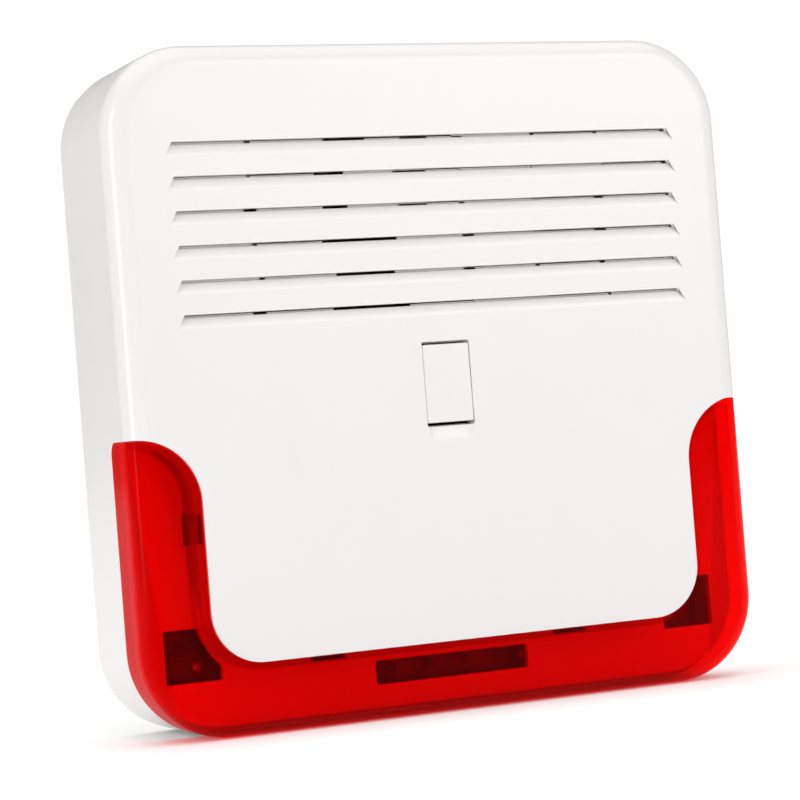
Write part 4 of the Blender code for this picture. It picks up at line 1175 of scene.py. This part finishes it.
class SIREN_OT_board_parts(Maker, bpy.types.Operator):
    """Make the small parts on the control board"""
    bl_idname = "siren.board_parts"
    bl_label = "Board parts"

    def build(self):
        self.capacitors()
        self.resistors()
        self.chip_legs()
        self.terminals()

    def capacitors(self):
        names = ("capacitor_1", "capacitor_2")
        front, back, wide = low(names[0]).y, high(names[0]).y, 0.0050
        profile = [(0, front + 0.0006), (0.0036, front + 0.0006), (0.0040, front + 0.0001),
                   (0.0044, front), (wide, front + 0.0006), (wide, back - 0.0022),
                   (0.0046, back - 0.0017), (wide, back - 0.0011), (wide, back), (0, back)]
        cans = joined([turned(middle(n).x, middle(n).z, profile, 40) for n in names])
        dress(shade(thing_of("capacitor_cans", cans), 40), "capacitor_sleeve_pvc", "base", *names)

    def resistors(self):
        """Rows of chip resistors in the free strips of the board, as (from, to), height, count."""
        rows = [((-0.034, 0.012), 0.0125, 9), ((-0.064, -0.036), -0.0185, 6),
                ((-0.012, 0.030), -0.0170, 9), ((0.038, 0.074), 0.0130, 8),
                ((-0.012, 0.012), 0.0085, 4), ((0.040, 0.050), 0.0030, 3),
                ((-0.042, -0.033), -0.0070, 3)]
        places = [(start + (end - start) * i / (count - 1), BOARD_FRONT, z)
                  for (start, end), z, count in rows for i in range(count)]
        body = block((-0.00075, 0.00075), (-0.00055, -0.00002), (-0.00062, 0.00062))
        ends = joined([block(xs, (-0.0006, -0.00002), (-0.00065, 0.00065))
                       for xs in ((-0.0011, -0.0007), (0.0007, 0.0011))])
        for name, part, finish in (("resistor_bodies", body, "glass_filled_nylon"),
                                   ("resistor_ends", ends, "zinc_plated_steel")):
            dress(copied(name, part, places, finish), finish, "base")

    def chip_legs(self):
        bottom, top = low("microcontroller"), high("microcontroller")
        section = ((-0.0011, 0.0), (-0.0011, 0.0006), (-0.0001, 0.0010), (-0.0001, 0.0016),
                   (-0.00002, 0.0016), (-0.00002, 0.0009), (-0.0010, 0.0005), (-0.0010, 0.0))
        leg = slab(section, -0.00018, 0.00018)
        turned_leg = leg.copy()
        turned_leg.transform(Matrix.Rotation(math.pi, 4, "Y"))
        rows = [taken(copied("legs", data, [(bottom.x + 0.0012 + 0.0008 * i, BOARD_FRONT, z)
                                            for i in range(13)], "zinc_plated_steel"))
                for data, z in ((leg, top.z - 0.0001), (turned_leg, bottom.z + 0.0001))]
        dress(thing_of("chip_legs", joined(rows)), "zinc_plated_steel", "base")

    def terminals(self):
        """Slotted screws down in the wells of the terminal block."""
        front = low("terminal_block").y
        head = cut(thing_of("sample", turned(0.0, 0.0, [
            (0, 0), (0.0012, 0), (0.0014, 0.0002), (0.0014, 0.0012), (0, 0.0012)], 24)),
            block((-0.002, 0.002), (-0.001, 0.0005), (-0.0002, 0.0002)))
        places = [(-0.0685 + 0.005 * i, front + 0.0013, 0.0058) for i in range(6)]
        screws = copied("terminal_screws", taken(head), places, "zinc_plated_steel", math.pi, 5)
        dress(screws, "zinc_plated_steel", "base")


class SIREN_OT_battery(Maker, bpy.types.Operator):
    """Make the backup battery, its two tabs and the strap that clamps it"""
    bl_idname = "siren.battery"
    bl_label = "Battery"

    def build(self):
        bottom, top = low("battery"), high("battery")
        lid = top.z - 0.0065
        rings = []
        for z, inset in ((bottom.z, 0.0010), (bottom.z + 0.0010, 0.0), (lid - 0.0006, 0.0),
                         (lid - 0.0003, 0.0005), (lid + 0.0003, 0.0005), (lid + 0.0006, 0.0),
                         (top.z - 0.0010, 0.0), (top.z, 0.0010)):
            ring = rounded(bottom.x + inset, top.x - inset, bottom.y + inset, top.y - inset,
                           0.0022 - inset, 8)
            rings.append([(x, y, z) for x, y in ring])
        vents = [skinned([[(x, y, z) for x, y in circle(at, (bottom.y + top.y) / 2, 0.0050)]
                          for z in (top.z - 0.0004, top.z + 0.001)]) for at in (-0.020, 0.0, 0.020)]
        case = cut(thing_of("battery_block", skinned(rings)), joined(vents))
        dress(flatten(case), "battery_polypropylene", "base", "battery")

        names = ("battery_tab_negative", "battery_tab_positive")
        tabs = [prism(rounded(low(n).x, high(n).x, low(n).z, high(n).z, 0.0008, 5),
                      low(n).y, high(n).y) for n in names]
        dress(soften(thing_of("battery_blades", joined(tabs)), 0.00012), "rolled_brass", "base",
              *names)

        a, b = low("battery_clamp"), high("battery_clamp")
        side, front, back, thick = top.x + GAP, bottom.y - GAP, b.y, 0.0012
        out = side + thick
        strap = [(a.x, back), (a.x, back - thick), (-out, back - thick), (-out, front - thick),
                 (out, front - thick), (out, back - thick), (b.x, back - thick), (b.x, back),
                 (side, back), (side, front), (-side, front), (-side, back)]
        clamp = thing_of("clamp_strap", skinned([[(x, y, z) for x, y in strap]
                                                 for z in (a.z, b.z)]))
        cut(soften(clamp, 0.0005, 60, 3), screw_holes(CLAMP_SCREWS))
        dress(flatten(clamp), "zinc_plated_steel", "base", "battery_clamp")


class SIREN_OT_lamps(Maker, bpy.types.Operator):
    """Make the six red strobe lamps"""
    bl_idname = "siren.lamps"
    bl_label = "Strobe lamps"

    def build(self):
        name, radius = STROBE_LEDS[0], 0.0025
        base = high(name).y - middle(name).y
        tip = low(name).y - middle(name).y
        wide = high(name).x - middle(name).x
        profile = [(0, base), (wide, base), (wide, base - 0.001), (radius, base - 0.001)]
        profile += [(radius * math.cos(a), tip + radius - radius * math.sin(a))
                    for a in map(math.radians, range(0, 90, 9))]
        lamps = copied("strobe_lamps", turned(0.0, 0.0, profile + [(0, tip)], 32),
                       [middle(n) for n in STROBE_LEDS], "epoxy_lens")
        dress(lamps, "epoxy_lens", "base", *STROBE_LEDS)


class SIREN_OT_tampers(Maker, bpy.types.Operator):
    """Make the two tamper plungers and the spring that pushes one against the wall"""
    bl_idname = "siren.tampers"
    bl_label = "Tamper plungers"

    def build(self):
        cover, wall = middle("cover_tamper_plunger"), middle("wall_tamper_plunger")
        front, back = low("cover_tamper_plunger").y, high("cover_tamper_plunger").y
        stem = thing_of("cover_stem", turned(cover.x, cover.z, rounded_profile([
            (0, front, 0), (0.0015, front, 0.0010), (0.0015, back, 0.0002), (0, back, 0)]), 32))
        dress(shade(stem), "red_nylon", "cover_plunger", "cover_tamper_plunger")

        tip, tail = high("wall_tamper_plunger").y, low("wall_tamper_plunger").y
        collar = GUIDE_FLOOR - GAP
        button = thing_of("wall_stem", turned(wall.x, wall.z, rounded_profile([
            (0, tip, 0), (0.0028, tip, 0.0012), (0.0028, collar, 0.0002),
            (0.0041, collar, 0.0002), (0.0041, collar - 0.0018, 0.0002),
            (0.0014, collar - 0.0018, 0.0002), (0.0014, tail, 0.0003), (0, tail, 0)]), 40))
        dress(shade(button), "moulded_white_abs", "wall_plunger", "wall_tamper_plunger")

        wire = 0.00035
        start, end = high("wall_tamper_spring").y, low("wall_tamper_spring").y
        coil = grown(thing_of("plunger_spring"), coil_spring, Turns=5.0, Radius=0.0034, Wire=wire,
                     Length=start - end - 2 * wire, Place=(wall.x, end + wire, wall.z),
                     Material=finishes()["zinc_plated_steel"])
        dress(shade(coil), "zinc_plated_steel", "base", "wall_tamper_spring")
        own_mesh(coil)


class SIREN_OT_leads(Maker, bpy.types.Operator):
    """Make the red and the black leads inside, along their routes"""
    bl_idname = "siren.leads"
    bl_label = "Leads"

    def build(self):
        self.lay("leads_red", LEADS_RED, "extruded_red_pvc", "battery_lead_positive",
                 "strobe_lead_left", "strobe_lead_right", "strobe_lead_centre")
        self.lay("leads_black", LEADS_BLACK, "extruded_black_pvc", "battery_lead_negative",
                 "siren_lead")

    def lay(self, name, routes, finish, *nodes):
        points, edges = [], []
        for route in routes:
            edges += [(len(points) + i, len(points) + i + 1) for i in range(len(route) - 1)]
            points += route
        leads = grown(points_of(name, points, edges), leads_on_routes, Radius=LEAD_R,
                      Spacing=0.0014, Material=finishes()[finish])
        dress(shade(leads, 50), finish, "base", *nodes)


class SIREN_OT_seal(Maker, bpy.types.Operator):
    """Make the rubber grommet of the cable hole"""
    bl_idname = "siren.seal"
    bl_label = "Cable grommet"

    def build(self):
        bottom, top, spot = low("cable_grommet"), high("cable_grommet"), middle("cable_grommet")
        flange, seat = top.x - spot.x, BASE_FLOOR - GAP
        seal = thing_of("cable_seal", turned(spot.x, spot.z, rounded_profile([
            (0.0040, bottom.y, 0.0003), (0.0040, top.y, 0.0004), (0.0067, top.y, 0.0003),
            (0.0067, seat, 0), (flange, seat, 0.0002), (flange - 0.0004, -0.0048, 0.0004),
            (0.0060, bottom.y, 0.0004)]), 56))
        dress(shade(seal), "moulded_rubber", "base", "cable_grommet")


class SIREN_OT_kept_nodes(Maker, bpy.types.Operator):
    """Give the frame's own boards, connectors and switches their materials"""
    bl_idname = "siren.kept_nodes"
    bl_label = "Boards and switches"

    def build(self):
        kept = {
            "solder_masked_board": ("control_board",),
            "black_masked_board": ("strobe_board_centre", "strobe_board_left",
                                   "strobe_board_right"),
            "glass_filled_nylon": ("microcontroller", "driver_transformer", "cover_tamper_switch",
                                   "wall_tamper_switch"),
            "green_terminal_nylon": ("terminal_block",),
            "natural_nylon": ("battery_connector", "strobe_connector_left",
                              "strobe_connector_right"),
        }
        for finish, names in kept.items():
            for name in names:
                NODES[name].material_slots[0].material = finishes()[finish]


class SIREN_OT_stage(Maker, bpy.types.Operator):
    """Make the pale floor, the soft studio light and the camera"""
    bl_idname = "siren.stage"
    bl_label = "Stage"

    def build(self):
        self.floor()
        self.light_world(bpy.context.scene)
        self.lights()
        self.camera(bpy.context.scene)

    def floor(self):
        reach, z = 6.0, FLOOR_Z - 0.0002
        floor = points_of("floor", [(-reach, -reach, z), (reach, -reach, z), (reach, reach, z),
                                    (-reach, reach, z)], faces=[(0, 1, 2, 3)])
        paper = Finish("matt_white_paper", {
            "Roughness": 0.9, "Specular IOR Level": 0.2, "Emission Color": (1.0, 1.0, 1.0, 1.0),
            "Emission Strength": 0.05})
        paper.feed("Base Color", paper.mix(paper.noise(1 / 3), linear("#FAFAFA"),
                                           linear("#FFFFFF")))
        floor.data.materials.append(paper.material)

    def light_world(self, scene):
        """White to the eye, but softer as a light and dimmer still in gloss."""
        seen, soft, gloss = 1.05, 0.56, 0.26
        world = bpy.data.worlds.new("studio")
        scene.world = world
        world.use_nodes = True
        tree = world.node_tree
        tree.nodes.clear()
        path = add(tree, "ShaderNodeLightPath")
        fill = add(tree, "ShaderNodeMix", {0: path.outputs["Is Glossy Ray"], 2: soft, 3: gloss})
        level = add(tree, "ShaderNodeMix", {0: path.outputs["Is Camera Ray"],
                                            2: fill.outputs[0], 3: seen})
        sky = add(tree, "ShaderNodeBackground", {"Color": (1.0, 1.0, 1.0, 1.0),
                                                 "Strength": level.outputs[0]})
        add(tree, "ShaderNodeOutputWorld", {"Surface": sky.outputs[0]})
        scene.view_settings.view_transform = "Standard"

    def lights(self):
        """A wide overhead light keeps the floor evenly white, and softboxes shape the front."""
        softboxes = (       # name, place, size and power
            ("key", (0.9, -1.5, 0.7), (1.1, 1.1), 9.0),
            ("left_strip", (-1.2, -0.35, 0.25), (0.12, 0.9), 4.2),
        )
        for name, spot, size, power in softboxes:
            data = bpy.data.lights.new(name, "AREA")
            data.shape = "RECTANGLE"
            data.size, data.size_y = size
            data.energy = power
            light = thing_of(name, data)
            light.location = spot
            light.rotation_euler = (-Vector(spot)).to_track_quat("-Z", "Y").to_euler()
        overhead = bpy.data.lights.new("overhead", "SUN")
        overhead.energy = 1.40
        overhead.angle = math.radians(80)
        thing_of("overhead", overhead)

    def camera(self, scene):
        data = bpy.data.cameras.new("camera")
        data.sensor_width = 36.0
        data.lens = 116.94
        camera = thing_of("camera", data)
        forward = Vector((0.39662, 0.91787, 0.01425)).normalized()
        right = Vector((0.91562, -0.39443, -0.07791)).normalized()
        up = right.cross(forward)
        turn = Matrix((right, up, -forward)).transposed().to_4x4()
        camera.matrix_world = Matrix.Translation((-0.3682, -0.8634, -0.0203)) @ turn
        scene.camera = camera


OPERATORS = (
    SIREN_OT_stage, SIREN_OT_cover, SIREN_OT_teeth, SIREN_OT_window, SIREN_OT_flap,
    SIREN_OT_cover_screw, SIREN_OT_base, SIREN_OT_fixings, SIREN_OT_horn, SIREN_OT_board_parts,
    SIREN_OT_battery, SIREN_OT_lamps, SIREN_OT_tampers, SIREN_OT_leads, SIREN_OT_seal,
    SIREN_OT_kept_nodes,
)


class SIREN_PT_panel(bpy.types.Panel):
    bl_idname = "SIREN_PT_panel"
    bl_label = "Alarm siren"
    bl_space_type = "VIEW_3D"
    bl_region_type = "UI"
    bl_category = "Siren"

    def draw(self, context):
        scene = context.scene
        for heading, group in (("Cover", scene.siren_cover), ("Strobe", scene.siren_strobe),
                               ("Colours", scene.siren_colours)):
            box = self.layout.box()
            box.label(text=heading)
            for key in type(group).__annotations__:
                box.prop(group, key)
        for operator in OPERATORS:
            self.layout.operator(operator.bl_idname)


GROUPS = {"siren_cover": SirenCoverSizes, "siren_strobe": SirenStrobeSizes,
          "siren_colours": SirenColours}


def register():
    for made in (*GROUPS.values(), *OPERATORS, SIREN_PT_panel):
        bpy.utils.register_class(made)
    for name, group in GROUPS.items():
        setattr(bpy.types.Scene, name, PointerProperty(type=group))


def unregister():
    for name in GROUPS:
        delattr(bpy.types.Scene, name)
    for made in reversed((*GROUPS.values(), *OPERATORS, SIREN_PT_panel)):
        bpy.utils.unregister_class(made)


def main():
    register()
    for operator in OPERATORS:
        group, name = operator.bl_idname.split(".")
        getattr(getattr(bpy.ops, group), name)()


if __name__ == "__main__":
    main()
